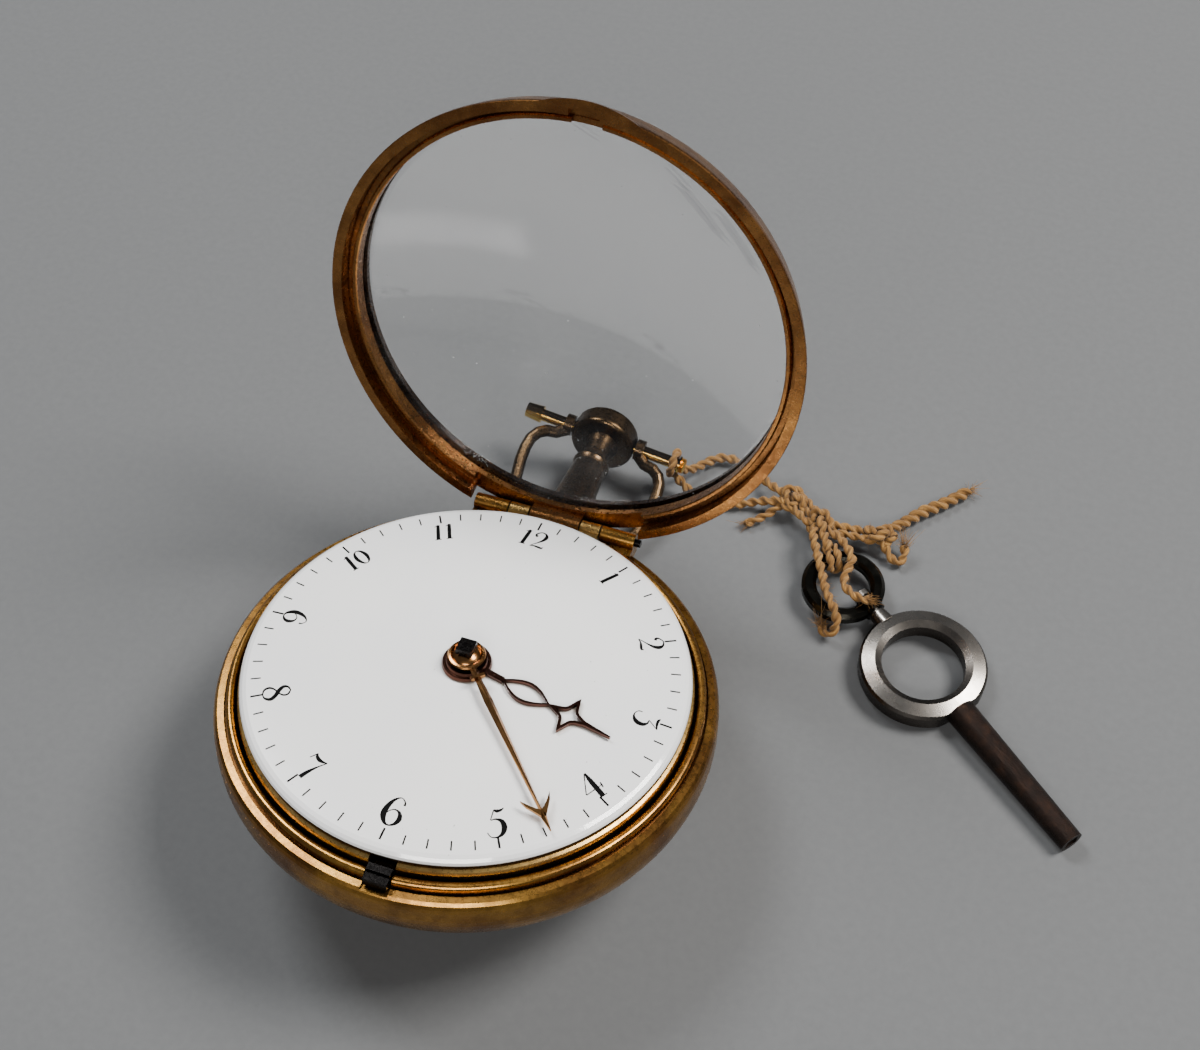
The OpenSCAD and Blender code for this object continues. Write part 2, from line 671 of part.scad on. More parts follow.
module balance_wheel() {
    color("#c9a25a") in_watch() translate([0, balance_y]) {
        difference() {
            union() {
                tube(balance_r, balance_r - 0.7, -10.6, -10.1);
                for (a = [30:120:270]) rotate([0, 0, a])
                    translate([0, -0.3, -10.55]) cube([balance_r - 0.4, 0.6, 0.35]);
                rod(1.1, -10.6, -10.1);
            }
            rod(staff_r, -12, -9);
        }
    }
}

module balance_staff() {
    color("#6d675f") in_watch() translate([0, balance_y]) rod(staff_r, -11.9, -8.4);
}

// ---- key ----

// The key's own frame: X runs from the middle of its grip ring along its pipe
module on_key() {
    translate(key_at) rotate([0, 0, key_turn]) rotate([0, key_dip, 0]) children();
}

module key_loop() {
    color("#3b3a36") on_key() difference() {
        union() {
            translate(loop_at) rotate_extrude($fn = 18) translate([loop_r, 0])
                polygon([for (c = [[1, 0.5], [0.5, 1], [-0.5, 1], [-1, 0.5], [-1, -0.5], [-0.5, -1],
                    [0.5, -1], [1, -0.5]]) c * loop_w / 2]);
            translate([-9.5, 0, 0]) rotate([0, 90, 0]) cylinder(h = 1.8, r = 1.1);
        }
        translate([-10, 0, 0]) rotate([0, 90, 0]) cylinder(h = 3, r = shank_r + run_gap);
        // flat seat for the swivel's riveted end
        translate([-10.8, 0, 0]) rotate([0, 90, 0]) cylinder(h = 1.25, r = 1.08);
    }
}

module key_grip() {
    color("#8f8d88") on_key() {
        difference() {
            rotate_extrude($fn = 96) polygon([[grip_hole_r, -0.8], [grip_hole_r + 0.6, -grip_t / 2],
                [grip_r - 0.3, -grip_t / 2], [grip_r, -grip_t / 2 + 0.3], [grip_r, 0.55],
                [grip_r - 0.25, 0.85], [grip_hole_r + 0.7, grip_t / 2], [grip_hole_r, 0.8]]);
            translate([5.9, -3, -3]) cube([6, 6, 6]);
        }
        translate([-7.5, 0, 0]) rotate([0, 90, 0]) cylinder(h = 1.5, r1 = 0.9, r2 = 1.1);
        translate([-9.7, 0, 0]) rotate([0, 90, 0]) cylinder(h = 3.1, r = shank_r);
        translate([-10.25, 0, 0]) rotate([0, 90, 0]) cylinder(h = 0.6, r = 0.95);
    }
}

module key_pipe() {
    color("#43302a") on_key() difference() {
        translate([5.9, 0, 0]) rotate([0, 90, 0]) cylinder(h = pipe_reach - 5.9, r1 = 1.5, r2 = 1.2);
        translate([pipe_reach - 6, -key_square / 2, -key_square / 2]) cube([7, key_square, key_square]);
    }
}

// ---- twine ----

module twine_colour() {
    color("#b08243") children();
}

module twine_bow_tie() {
    twine_colour() on_pendant() translate([tie_x, 0, 0]) rotate([0, 90, 0])
        rotate_extrude($fn = 32) translate([bow_pin_r + 0.57, 0]) circle(d = 1, $fn = 16);
}

module twine_loop_tie() {
    twine_colour() on_key() translate(loop_at) rotate([0, 0, -13]) translate([-loop_r, 0, 0])
        rotate([90, 0, 0]) rotate_extrude($fn = 32) translate([1.32, 0]) scale([0.9, 1.3]) circle(d = 1, $fn = 16);
}

module twine_main() {
    twine_colour() swept(main_route, twine_d);
}

module knot(at, r) {
    twine_colour() translate(at) rotate([0, 90, -35]) translate([0, 0, -1.2 * r])
        rotate_extrude($fn = 32) polygon([[0, 0], [0.6 * r, 0.15 * r], [0.9 * r, 0.6 * r], [r, 1.2 * r],
            [0.85 * r, 1.9 * r], [0.5 * r, 2.3 * r], [0, 2.4 * r]]);
}

module twine_knot_1() { knot(knot_1_at, 1.6); }
module twine_knot_2() { knot(knot_2_at, 1.6); }
module twine_knot_3() { knot(knot_3_at, 1.5); }
module twine_return() { twine_colour() swept(return_route, twine_d); }
module twine_hanger() { twine_colour() swept(hanger_route, twine_d); }
module twine_end_1() { twine_colour() swept(end_1_route, twine_d); }
module twine_end_2() { twine_colour() swept(end_2_route, twine_d); }
module twine_end_3() { twine_colour() swept(end_3_route, twine_d); }
module twine_end_4() { twine_colour() swept(end_4_route, twine_d); }

case_back();
case_rim();
hinge_pin();
pendant();
bow_pin();
bow();
bezel_ring();
bezel_joint();
crystal();
dial();
movement_ring();
pillar_plate();
pillar_1();
pillar_2();
pillar_3();
pillar_4();
back_plate();
plate_pins();
minute_wheel_stud();
balance_cock();
cock_screw();
fusee_chain();
latch_bolt();
hour_hand();
hour_wheel();
minute_hand();
cannon_pinion();
centre_arbor();
minute_wheel();
fusee();
great_wheel();
barrel();
balance_wheel();
balance_staff();
key_loop();
key_grip();
key_pipe();
twine_bow_tie();
twine_loop_tie();
twine_main();
twine_return();
twine_hanger();
twine_knot_1();
twine_knot_2();
twine_knot_3();
twine_end_1();
twine_end_2();
twine_end_3();
twine_end_4();
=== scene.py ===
import json
import math
import random

import bpy
from mathutils import Matrix, Vector
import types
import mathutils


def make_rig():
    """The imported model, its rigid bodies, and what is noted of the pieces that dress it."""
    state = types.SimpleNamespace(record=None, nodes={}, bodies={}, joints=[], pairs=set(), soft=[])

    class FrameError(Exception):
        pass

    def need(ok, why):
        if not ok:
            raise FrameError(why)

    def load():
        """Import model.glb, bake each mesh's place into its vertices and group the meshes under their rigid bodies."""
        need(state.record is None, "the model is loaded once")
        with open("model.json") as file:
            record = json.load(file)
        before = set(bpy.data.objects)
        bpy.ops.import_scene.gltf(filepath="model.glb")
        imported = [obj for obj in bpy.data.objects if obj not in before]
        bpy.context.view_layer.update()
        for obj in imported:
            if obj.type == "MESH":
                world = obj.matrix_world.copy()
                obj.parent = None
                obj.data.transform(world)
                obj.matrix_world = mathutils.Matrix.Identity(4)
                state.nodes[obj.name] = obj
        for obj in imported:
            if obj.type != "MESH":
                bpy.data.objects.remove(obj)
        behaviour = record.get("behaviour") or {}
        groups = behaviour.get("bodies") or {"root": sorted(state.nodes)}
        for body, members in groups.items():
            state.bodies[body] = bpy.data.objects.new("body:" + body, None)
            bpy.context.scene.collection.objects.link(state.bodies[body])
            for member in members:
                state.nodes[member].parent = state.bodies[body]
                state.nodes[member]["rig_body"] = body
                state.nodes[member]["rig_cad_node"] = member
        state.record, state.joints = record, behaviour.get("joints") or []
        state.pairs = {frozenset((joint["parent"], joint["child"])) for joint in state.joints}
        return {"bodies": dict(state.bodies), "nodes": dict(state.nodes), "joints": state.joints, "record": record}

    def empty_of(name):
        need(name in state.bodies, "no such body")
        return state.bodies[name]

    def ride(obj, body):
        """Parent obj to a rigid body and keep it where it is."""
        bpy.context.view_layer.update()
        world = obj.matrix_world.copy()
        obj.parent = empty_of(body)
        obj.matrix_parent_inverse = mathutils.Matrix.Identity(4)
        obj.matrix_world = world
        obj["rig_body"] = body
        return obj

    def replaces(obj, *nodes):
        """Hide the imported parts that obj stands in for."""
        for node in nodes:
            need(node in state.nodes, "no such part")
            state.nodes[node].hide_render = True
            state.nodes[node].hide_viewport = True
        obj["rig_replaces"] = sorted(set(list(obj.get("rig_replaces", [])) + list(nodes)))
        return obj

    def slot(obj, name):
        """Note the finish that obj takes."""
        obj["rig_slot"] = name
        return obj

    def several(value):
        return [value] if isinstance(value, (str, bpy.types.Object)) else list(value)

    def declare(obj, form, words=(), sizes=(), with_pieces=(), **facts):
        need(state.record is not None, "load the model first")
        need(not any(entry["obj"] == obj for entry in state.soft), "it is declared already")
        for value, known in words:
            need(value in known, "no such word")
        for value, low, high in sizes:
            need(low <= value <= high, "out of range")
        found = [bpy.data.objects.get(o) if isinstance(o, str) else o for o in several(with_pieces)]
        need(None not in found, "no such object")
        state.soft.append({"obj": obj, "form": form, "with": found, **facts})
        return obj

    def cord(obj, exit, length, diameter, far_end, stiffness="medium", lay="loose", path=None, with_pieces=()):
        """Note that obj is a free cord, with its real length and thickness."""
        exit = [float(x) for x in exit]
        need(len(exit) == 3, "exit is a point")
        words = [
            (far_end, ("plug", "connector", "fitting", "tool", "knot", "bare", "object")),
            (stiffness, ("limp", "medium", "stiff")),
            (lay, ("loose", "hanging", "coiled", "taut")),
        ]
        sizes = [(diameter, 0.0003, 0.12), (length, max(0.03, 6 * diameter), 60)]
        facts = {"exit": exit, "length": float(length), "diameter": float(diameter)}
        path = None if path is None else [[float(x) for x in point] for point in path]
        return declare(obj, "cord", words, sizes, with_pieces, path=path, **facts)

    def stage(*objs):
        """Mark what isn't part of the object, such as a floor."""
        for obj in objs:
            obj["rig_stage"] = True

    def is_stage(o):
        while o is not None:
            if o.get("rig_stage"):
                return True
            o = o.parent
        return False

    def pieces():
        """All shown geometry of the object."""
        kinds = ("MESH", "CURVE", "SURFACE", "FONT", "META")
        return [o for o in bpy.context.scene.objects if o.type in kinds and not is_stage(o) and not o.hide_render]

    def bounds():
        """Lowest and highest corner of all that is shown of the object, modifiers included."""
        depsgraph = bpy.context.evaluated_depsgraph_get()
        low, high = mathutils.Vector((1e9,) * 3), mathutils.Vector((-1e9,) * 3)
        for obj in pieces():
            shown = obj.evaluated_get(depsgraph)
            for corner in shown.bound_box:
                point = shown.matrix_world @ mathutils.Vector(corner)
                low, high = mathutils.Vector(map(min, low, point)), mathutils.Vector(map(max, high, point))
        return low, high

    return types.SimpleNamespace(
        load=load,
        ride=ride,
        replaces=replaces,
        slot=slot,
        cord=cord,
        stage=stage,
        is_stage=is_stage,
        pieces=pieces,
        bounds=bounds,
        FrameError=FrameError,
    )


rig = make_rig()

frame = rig.load()
cad_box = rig.bounds()
nodes = frame["nodes"]

MM = 0.001

# ---- frames of the part, in millimetres ----

TILT = math.radians(8)        # the watch lies on its dome, tipped down at the pendant
STAND_Y, STAND_Z = -8.05, 15.8185
HINGE = (22.0, -1.4)          # y and z of the hinge line, in the watch's frame
OPEN = math.radians(97.5)     # how far the bezel stands open at rest
PENDANT_AT = (0, 39.1, -5.2)  # middle of the pendant's head, in the watch's frame
BOW_ROLL = math.radians(8)
KEY_AT = Vector((38.85, 14.69, 1.6))
KEY_TURN, KEY_DIP = math.radians(-39), math.radians(1)
LOOP_AT = (-12.03, -0.95, 0)  # middle of the swivel loop, in the key's frame

WATCH = Matrix.Translation((0, STAND_Y, STAND_Z)) @ Matrix.Rotation(-TILT, 4, "X")
BEZEL = (WATCH @ Matrix.Translation((0, *HINGE)) @ Matrix.Rotation(-OPEN, 4, "X")
         @ Matrix.Translation((0, -HINGE[0], -HINGE[1])))
PENDANT = WATCH @ Matrix.Translation(PENDANT_AT) @ Matrix.Rotation(BOW_ROLL, 4, "Y")
KEY = (Matrix.Translation(KEY_AT) @ Matrix.Rotation(KEY_TURN, 4, "Z")
       @ Matrix.Rotation(KEY_DIP, 4, "Y"))


def place(frame_matrix, point):
    """A point given in millimetres in one of the frames above, in the part's frame in metres."""
    return (frame_matrix @ Vector(point)) * MM


# ---- camera ----

CAM_AT = Vector((40.23, -80.90, 150.57))
CAM_X = Vector((0.94515, 0.32622, -0.01636))
CAM_Y = Vector((-0.25433, 0.76643, 0.58983))
CAM_Z = Vector((0.20496, -0.55332, 0.80736))
LENS, SENSOR = 51.92, 36

camera = bpy.data.objects.new("camera", bpy.data.cameras.new("camera"))
bpy.context.scene.collection.objects.link(camera)
camera.data.sensor_width = SENSOR
camera.data.lens = LENS
camera.data.clip_start, camera.data.clip_end = 0.01, 10
camera_turn = Matrix((CAM_X, CAM_Y, CAM_Z)).transposed().to_4x4()
camera.matrix_world = Matrix.Translation(CAM_AT * MM) @ camera_turn
bpy.context.scene.camera = camera


# ---- node material helpers ----

class Mat:
    """A node material with short calls for the nodes used below."""

    def __init__(self, name):
        self.mat = bpy.data.materials.new(name)
        self.mat.use_nodes = True
        self.tree = self.mat.node_tree
        self.bsdf = self.tree.nodes["Principled BSDF"]
        self.out = self.tree.nodes["Material Output"]
        self.coord = None

    def node(self, kind, **props):
        n = self.tree.nodes.new(kind)
        for k, v in props.items():
            setattr(n, k, v)
        return n

    def link(self, a, b):
        self.tree.links.new(a, b)

    def set(self, **values):
        for k, v in values.items():
            self.bsdf.inputs[k.replace("_", " ")].default_value = v
        return self

    def vector(self, stretch, source):
        """Object coordinates in millimetres, or UV coordinates, stretched."""
        if self.coord is None:
            self.coord = self.node("ShaderNodeTexCoord")
        m = self.node("ShaderNodeMapping")
        unit = 1000 if source == "Object" else 1
        m.inputs["Scale"].default_value = [s * unit for s in stretch]
        self.link(self.coord.outputs[source], m.inputs["Vector"])
        return m.outputs["Vector"]

    def noise(self, scale, detail=4, rough=0.55, stretch=(1, 1, 1), source="Object", distort=0):
        n = self.node("ShaderNodeTexNoise")
        n.inputs["Scale"].default_value = scale
        n.inputs["Detail"].default_value = detail
        n.inputs["Roughness"].default_value = rough
        n.inputs["Distortion"].default_value = distort
        self.link(self.vector(stretch, source), n.inputs["Vector"])
        return n.outputs["Fac"]

    def ramp(self, fac, *stops):
        """Values or colours that change with fac, given as pairs of position and value."""
        r = self.node("ShaderNodeValToRGB")
        e = r.color_ramp.elements
        while len(e) < len(stops):
            e.new(0.5)
        for k, (pos, value) in enumerate(stops):
            e[k].position = pos
            grey = isinstance(value, (int, float))
            e[k].color = (value, value, value, 1) if grey else (*value, 1)
        self.link(fac, r.inputs["Fac"])
        return r.outputs["Color"]

    def mix(self, fac, a, b):
        m = self.node("ShaderNodeMix", data_type="RGBA")
        for socket, value in ((m.inputs[0], fac), (m.inputs[6], a), (m.inputs[7], b)):
            if isinstance(value, (int, float)):
                socket.default_value = value
            elif isinstance(value, tuple):
                socket.default_value = (*value, 1)
            else:
                self.link(value, socket)
        return m.outputs[2]

    def math(self, how, a, b=0.0):
        m = self.node("ShaderNodeMath", operation=how)
        for socket, value in ((m.inputs[0], a), (m.inputs[1], b)):
            if isinstance(value, (int, float)):
                socket.default_value = value
            else:
                self.link(value, socket)
        return m.outputs[0]

    def dirt(self, distance):
        """Ambient occlusion: 1 in the open, falling to 0 in crevices; the materials below paint shade with it."""
        a = self.node("ShaderNodeAmbientOcclusion", samples=8)
        a.inputs["Distance"].default_value = distance * MM
        return a.outputs["AO"]

    def colour(self, socket):
        self.link(socket, self.bsdf.inputs["Base Color"])

    def rough(self, fac, low, high):
        """Roughness from low to high as fac goes from 0 to 1."""
        r = self.node("ShaderNodeMapRange")
        r.inputs["To Min"].default_value, r.inputs["To Max"].default_value = low, high
        self.link(fac, r.inputs["Value"])
        self.link(r.outputs["Result"], self.bsdf.inputs["Roughness"])

    def bump(self, height, strength, distance):
        b = self.node("ShaderNodeBump")
        b.inputs["Strength"].default_value = strength
        b.inputs["Distance"].default_value = distance * MM
        self.link(height, b.inputs["Height"])
        self.link(b.outputs["Normal"], self.bsdf.inputs["Normal"])


def up_facing(m):
    """How far a surface faces upwards: 1 for level, 0 for upright, -1 for underneath."""
    geometry = m.node("ShaderNodeNewGeometry")
    split = m.node("ShaderNodeSeparateXYZ")
    m.link(geometry.outputs["Normal"], split.inputs[0])
    return split.outputs["Z"]


def gilt(name, bright, worn, grime_and_shade, rough, spots=0.35, bump=0.07):
    """Old gilding: bright gold, thin patches where the copper shows, dark dirt in streaks and specks, and painted
    shade in the corners.
    """
    m = Mat(name).set(Metallic=1.0)
    patch = m.ramp(m.noise(0.16, 6, 0.62), (0.36, 0.0), (0.64, 1.0))
    base = m.mix(patch, bright, worn)
    streak = m.ramp(m.noise(0.5, 5, 0.6), (0.42, 0.0), (0.7, 1.0))
    base = m.mix(m.math("MULTIPLY", streak, 0.5), base, grime_and_shade)
    fine = m.ramp(m.noise(2.4, 6, 0.7), (0.4, 0.0), (0.75, 1.0))
    base = m.mix(m.math("MULTIPLY", fine, 0.25), base, grime_and_shade)
    speck = m.ramp(m.noise(4.5, 3, 0.8), (0.62, 0.0), (0.70, spots))
    base = m.mix(speck, base, grime_and_shade)
    # painted shade: corners and crevices darkened to nearly the dark dirt colour
    crevice_shade = m.ramp(m.dirt(0.7), (0.2, 1.0), (0.8, 0.0))
    base = m.mix(crevice_shade, base, tuple(0.9 * c for c in grime_and_shade))
    m.colour(base)
    lines = m.noise(1.6, 5, 0.65, (1, 1, 9))
    m.rough(m.math("MULTIPLY", m.math("ADD", fine, lines), 0.6), *rough)
    m.bump(m.math("ADD", m.noise(3.2, 6, 0.7), m.noise(0.5, 2)), bump, 0.06)
    return m.mat


def striped_pin(name):
    """Gilt pin with painted light: a painted highlight along its underside and painted shade on its upper side, by
    which way each part faces.
    """
    m = Mat(name).set(Metallic=1.0, Roughness=0.22)
    # painted light: colour set by which way the surface faces, bright gold below, dark on top
    side = m.math("ADD", up_facing(m), m.math("MULTIPLY", m.noise(0.9, 4), 0.3))
    m.colour(m.ramp(side, (0.70, (0.90, 0.60, 0.15)), (0.86, (0.36, 0.20, 0.05)),
                    (1.0, (0.04, 0.025, 0.012))))
    m.bump(m.noise(2.5, 5), 0.2, 0.05)
    return m.mat


def steel(name, bright, dark, rough, bump=0.2, grain=0.4, forged=False):
    """Old steel with a fine grain, or with broad hammered dents if it is forged."""
    m = Mat(name).set(Metallic=1.0)
    patch = m.ramp(m.noise(0.5, 6, 0.65), (0.35, 0.0), (0.7, 1.0))
    fine = m.ramp(m.noise(4.5, 5, 0.75), (0.4, 0.0), (0.72, 1.0))
    base = m.mix(m.math("MULTIPLY", patch, 0.5), bright, dark)
    base = m.mix(m.math("MULTIPLY", fine, grain), base, dark)
    # painted shade: darkened in crevices
    crevice_shade = m.ramp(m.dirt(0.6), (0.3, 1.0), (0.9, 0.0))
    base = m.mix(crevice_shade, base, tuple(0.4 * c for c in dark))
    m.colour(base)
    m.rough(patch if forged else fine, *rough)
    m.bump(m.noise(1.2 if forged else 3.5, 6, 0.75), bump, 0.05)
    return m.mat


def grip_steel(name):
    """Handled steel with painted shade: bright on the level bevel, brown and dark on the sloping and upright walls, by
    which way they face.
    """
    m = Mat(name).set(Metallic=1.0)
    tone = m.ramp(m.noise(0.2, 5, 0.6), (0.35, (0.44, 0.41, 0.37)), (0.7, (0.25, 0.225, 0.20)))
    scuff = m.ramp(m.noise(1.4, 6, 0.7, distort=0.6), (0.55, 0.0), (0.75, 0.45))
    base = m.mix(scuff, tone, (0.13, 0.11, 0.095))
    # painted shade: the less a surface faces up, the darker it is painted
    wall_shade = m.ramp(up_facing(m), (0.25, 1.0), (0.70, 0.75), (0.90, 0.6), (0.945, 0.0))
    base = m.mix(wall_shade, base, (0.065, 0.055, 0.047))
    m.colour(base)
    m.rough(m.noise(0.8, 5, 0.6), 0.2, 0.34)
    m.bump(m.noise(1.6, 4, 0.6), 0.03, 0.04)
    return m.mat


def rusty(name):
    """Steel that has browned all over, with rust-red grit."""
    m = Mat(name).set(Metallic=0.85)
    patch = m.ramp(m.noise(0.9, 8, 0.7), (0.3, (0.008, 0.006, 0.005)),
                   (0.5, (0.019, 0.011, 0.008)), (0.75, (0.055, 0.027, 0.015)))
    grit = m.ramp(m.noise(7, 5, 0.8), (0.45, 0.0), (0.7, 1.0))
    m.colour(m.mix(m.math("MULTIPLY", grit, 0.5), patch, (0.010, 0.007, 0.006)))
    m.rough(m.noise(1.4, 5), 0.24, 0.5)
    m.bump(m.math("ADD", m.noise(2.2, 8, 0.75), grit), 0.5, 0.08)
    return m.mat


def enamel(name):
    """White enamel with a few dark specks and hairlines, and painted shade in brown where other parts close over it,
    as at its edge.
    """
    m = Mat(name).set(Roughness=0.12, Coat_Weight=0.5, Coat_Roughness=0.04, IOR=1.52)
    cloud = m.ramp(m.noise(0.07, 3), (0.3, (0.83, 0.835, 0.84)), (0.7, (0.88, 0.875, 0.86)))
    speck = m.ramp(m.noise(3.1, 2, 0.5), (0.755, 0.0), (0.80, 0.7))
    base = m.mix(speck, cloud, (0.30, 0.28, 0.26))
    hair = m.ramp(m.noise(0.9, 3, 0.6, (1, 9, 1), distort=0.8), (0.735, 0.0), (0.76, 0.45))
    base = m.mix(hair, base, (0.50, 0.49, 0.47))
    # painted shade: browned where other parts close over the enamel
    edge_shade = m.ramp(m.dirt(0.5), (0.35, 0.8), (0.8, 0.0))
    m.colour(m.mix(edge_shade, base, (0.35, 0.27, 0.18)))
    m.bump(m.noise(0.35, 2), 0.06, 0.1)
    return m.mat


def glass(name):
    """Clear glass that reflects at its surface, under a thin film of dust and scratches."""
    m = Mat(name).set(Base_Color=(0.985, 0.995, 1.0, 1), Roughness=0.0, IOR=1.001,
                      Transmission_Weight=1.0, Alpha=0.35,
                      Coat_Weight=1.0, Coat_Roughness=0.0, Coat_IOR=1.85)
    haze = m.node("ShaderNodeBsdfDiffuse")
    haze.inputs["Color"].default_value = (0.75, 0.76, 0.76, 1)
    film = m.ramp(m.noise(0.12, 4, 0.6), (0.45, 0.0), (0.85, 0.04))
    speck = m.ramp(m.noise(2.6, 2, 0.5), (0.75, 0.0), (0.79, 0.55))
    hair = m.ramp(m.noise(0.7, 3, 0.6, (9, 1, 1), distort=0.5), (0.74, 0.0), (0.76, 0.22))
    fac = m.math("MAXIMUM", m.math("MAXIMUM", film, speck), hair)
    mixer = m.node("ShaderNodeMixShader")
    m.link(fac, mixer.inputs[0])
    m.link(m.bsdf.outputs[0], mixer.inputs[1])
    m.link(haze.outputs[0], mixer.inputs[2])
    m.link(mixer.outputs[0], m.out.inputs["Surface"])
    return m.mat


def jute(name, light=1.0):
    """Golden-brown plant fibre, streaked along the strand, with painted shade between the plies."""
    def tint(*rgb):
        return tuple(c * light for c in rgb)

    m = Mat(name).set(Roughness=0.9, Sheen_Weight=0.12, Sheen_Roughness=0.5)
    long = m.noise(1.0, 4, 0.65, (0.7, 9, 1), "UV")
    base = m.ramp(long, (0.3, tint(0.10, 0.042, 0.008)), (0.5, tint(0.26, 0.125, 0.027)),
                  (0.72, tint(0.46, 0.26, 0.075)))
    stain = m.ramp(m.noise(0.35, 3), (0.35, 0.0), (0.7, 0.45))
    base = m.mix(stain, base, tint(0.14, 0.06, 0.012))
    # painted shade: darkened between the plies and where strands touch
    crevice_shade = m.ramp(m.dirt(0.45), (0.2, 0.9), (0.85, 0.0))
    m.colour(m.mix(crevice_shade, base, tint(0.045, 0.019, 0.004)))
    m.bump(long, 0.7, 0.12)
    return m.mat


def ink(name, base, rough, shine):
    """The dull black of the numerals."""
    m = Mat(name).set(Roughness=rough, Specular_IOR_Level=shine)
    tone = m.ramp(m.noise(1.5, 4), (0.3, tuple(0.75 * c for c in base)), (0.7, base))
    m.colour(tone)
    m.bump(m.noise(4, 4), 0.1, 0.02)
    return m.mat


M_CASE = gilt("aged_gilt_case", (0.53, 0.28, 0.06), (0.27, 0.12, 0.032),
              (0.08, 0.036, 0.013), (0.2, 0.38))
M_BEZEL = gilt("aged_gilt_bezel", (0.50, 0.235, 0.07), (0.27, 0.11, 0.036),
               (0.08, 0.034, 0.014), (0.2, 0.38))
M_MOVE = gilt("gilt_movement", (0.70, 0.46, 0.15), (0.52, 0.31, 0.10),
              (0.16, 0.09, 0.035), (0.2, 0.4), spots=0.2)
M_BRONZE = gilt("dark_bronze", (0.11, 0.068, 0.032), (0.06, 0.036, 0.02),
                (0.016, 0.011, 0.008), (0.18, 0.42))
M_PIN = striped_pin("pin_gilt_painted_light")
M_HAND = gilt("copper_hand", (0.15, 0.062, 0.04), (0.08, 0.034, 0.026),
              (0.025, 0.013, 0.01), (0.16, 0.32), spots=0.2, bump=0.05)
M_MINUTE = gilt("rose_gilt_hand", (0.52, 0.26, 0.085), (0.30, 0.13, 0.05),
                (0.08, 0.035, 0.02), (0.14, 0.28), spots=0.1, bump=0.04)
M_DARK = steel("dark_steel", (0.024, 0.022, 0.021), (0.009, 0.008, 0.008), (0.2, 0.42), bump=0.1)
M_LOOP = steel("loop_steel", (0.040, 0.038, 0.031), (0.012, 0.011, 0.009), (0.12, 0.34),
               bump=0.5, grain=0.1, forged=True)
M_GRIP = grip_steel("worn_steel_painted_shade")
M_PLAIN_STEEL = steel("train_steel", (0.5, 0.49, 0.47), (0.25, 0.24, 0.23), (0.2, 0.35))
M_BLUE = steel("blued_steel", (0.06, 0.10, 0.32), (0.02, 0.03, 0.1), (0.15, 0.3))
M_RUST = rusty("rusted_steel")
M_ENAMEL = enamel("white_enamel")
M_GLASS = glass("crystal_glass")
M_TWINE = jute("jute_twine")
M_FIBRE = jute("jute_fibre", 1.35)
M_INK = ink("black_enamel", (0.003, 0.003, 0.003), 0.6, shine=0.05)

SLOT_MATERIAL = {
    "gilt_case": M_CASE, "gilt_bezel": M_BEZEL, "gilt_movement": M_MOVE, "bronze": M_BRONZE,
    "dark_steel": M_DARK, "steel": M_PLAIN_STEEL, "blued_steel": M_BLUE, "rusted_steel": M_RUST,
    "enamel": M_ENAMEL, "crystal_glass": M_GLASS, "rose_gilt": M_HAND, "twine": M_TWINE,
}
OWN_MATERIAL = {"key_loop": M_LOOP, "key_grip": M_GRIP, "bow_pin": M_PIN, "minute_hand": M_MINUTE}
for part in frame["record"]["subparts"]:
    name = part["node"]
    made = OWN_MATERIAL.get(name, SLOT_MATERIAL[part["material_slot"]])
    mesh = nodes[name].data
    mesh.materials.clear()
    mesh.materials.append(made)


# ---- mesh helpers ----

def add_mesh(name, verts, faces, material, body, slot, smooth=True, uvs=None):
    mesh = bpy.data.meshes.new(name)
    mesh.from_pydata([tuple(v) for v in verts], [], faces)
    mesh.materials.append(material)
    if smooth:
        for p in mesh.polygons:
            p.use_smooth = True
    if uvs:
        layer = mesh.uv_layers.new(name="UVMap")
        for loop in mesh.loops:
            layer.data[loop.index].uv = uvs[loop.vertex_index]
    mesh.validate()
    obj = bpy.data.objects.new(name, mesh)
    bpy.context.scene.collection.objects.link(obj)
    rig.ride(obj, body)
    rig.slot(obj, slot)
    return obj


def smooth_path(points, step, closed=False):
    """Points about step apart along a Catmull-Rom curve through the given points."""
    p = [Vector(q) for q in points]
    n = len(p)
    out = []
    for i in range(n if closed else n - 1):
        if closed:
            a, b, c, d = p[i - 1], p[i], p[(i + 1) % n], p[(i + 2) % n]
        else:
            b, c = p[i], p[i + 1]
            a = p[i - 1] if i else b * 2 - c
            d = p[i + 2] if i + 2 < n else c * 2 - b
        count = max(1, round((c - b).length / step))
        for k in range(count):
            t = k / count
            out.append(0.5 * ((2 * b) + (c - a) * t + (2 * a - 5 * b + 4 * c - d) * t * t
                              + (3 * b - a - 3 * c + d) * t ** 3))
    if not closed:
        out.append(p[-1])
    return out


def frames_along(path, closed=False):
    """Tangent and two square directions at each point, without twist."""
    n = len(path)
    tangents = []
    for i in range(n):
        a = path[i - 1] if (i or closed) else path[i]
        b = path[(i + 1) % n] if (i < n - 1 or closed) else path[i]
        tangents.append((b - a).normalized())
    side = tangents[0].cross(Vector((0, 0, 1)))
    if side.length < 0.1:
        side = tangents[0].cross(Vector((0, 1, 0)))
    side.normalize()
    out = []
    for t in tangents:
        side = (side - t * side.dot(t)).normalized()
        out.append((t, side, t.cross(side)))
    return out


def arc_points(centre_z, r, start, end, count):
    """Points (radius, z) of an arc about the axis, angles in degrees."""
    angles = [math.radians(start + (end - start) * i / count) for i in range(count + 1)]
    return [(r * math.cos(a), centre_z + r * math.sin(a)) for a in angles]


ON_AXIS = 1e-6                # a radius below this counts as a point on the axis


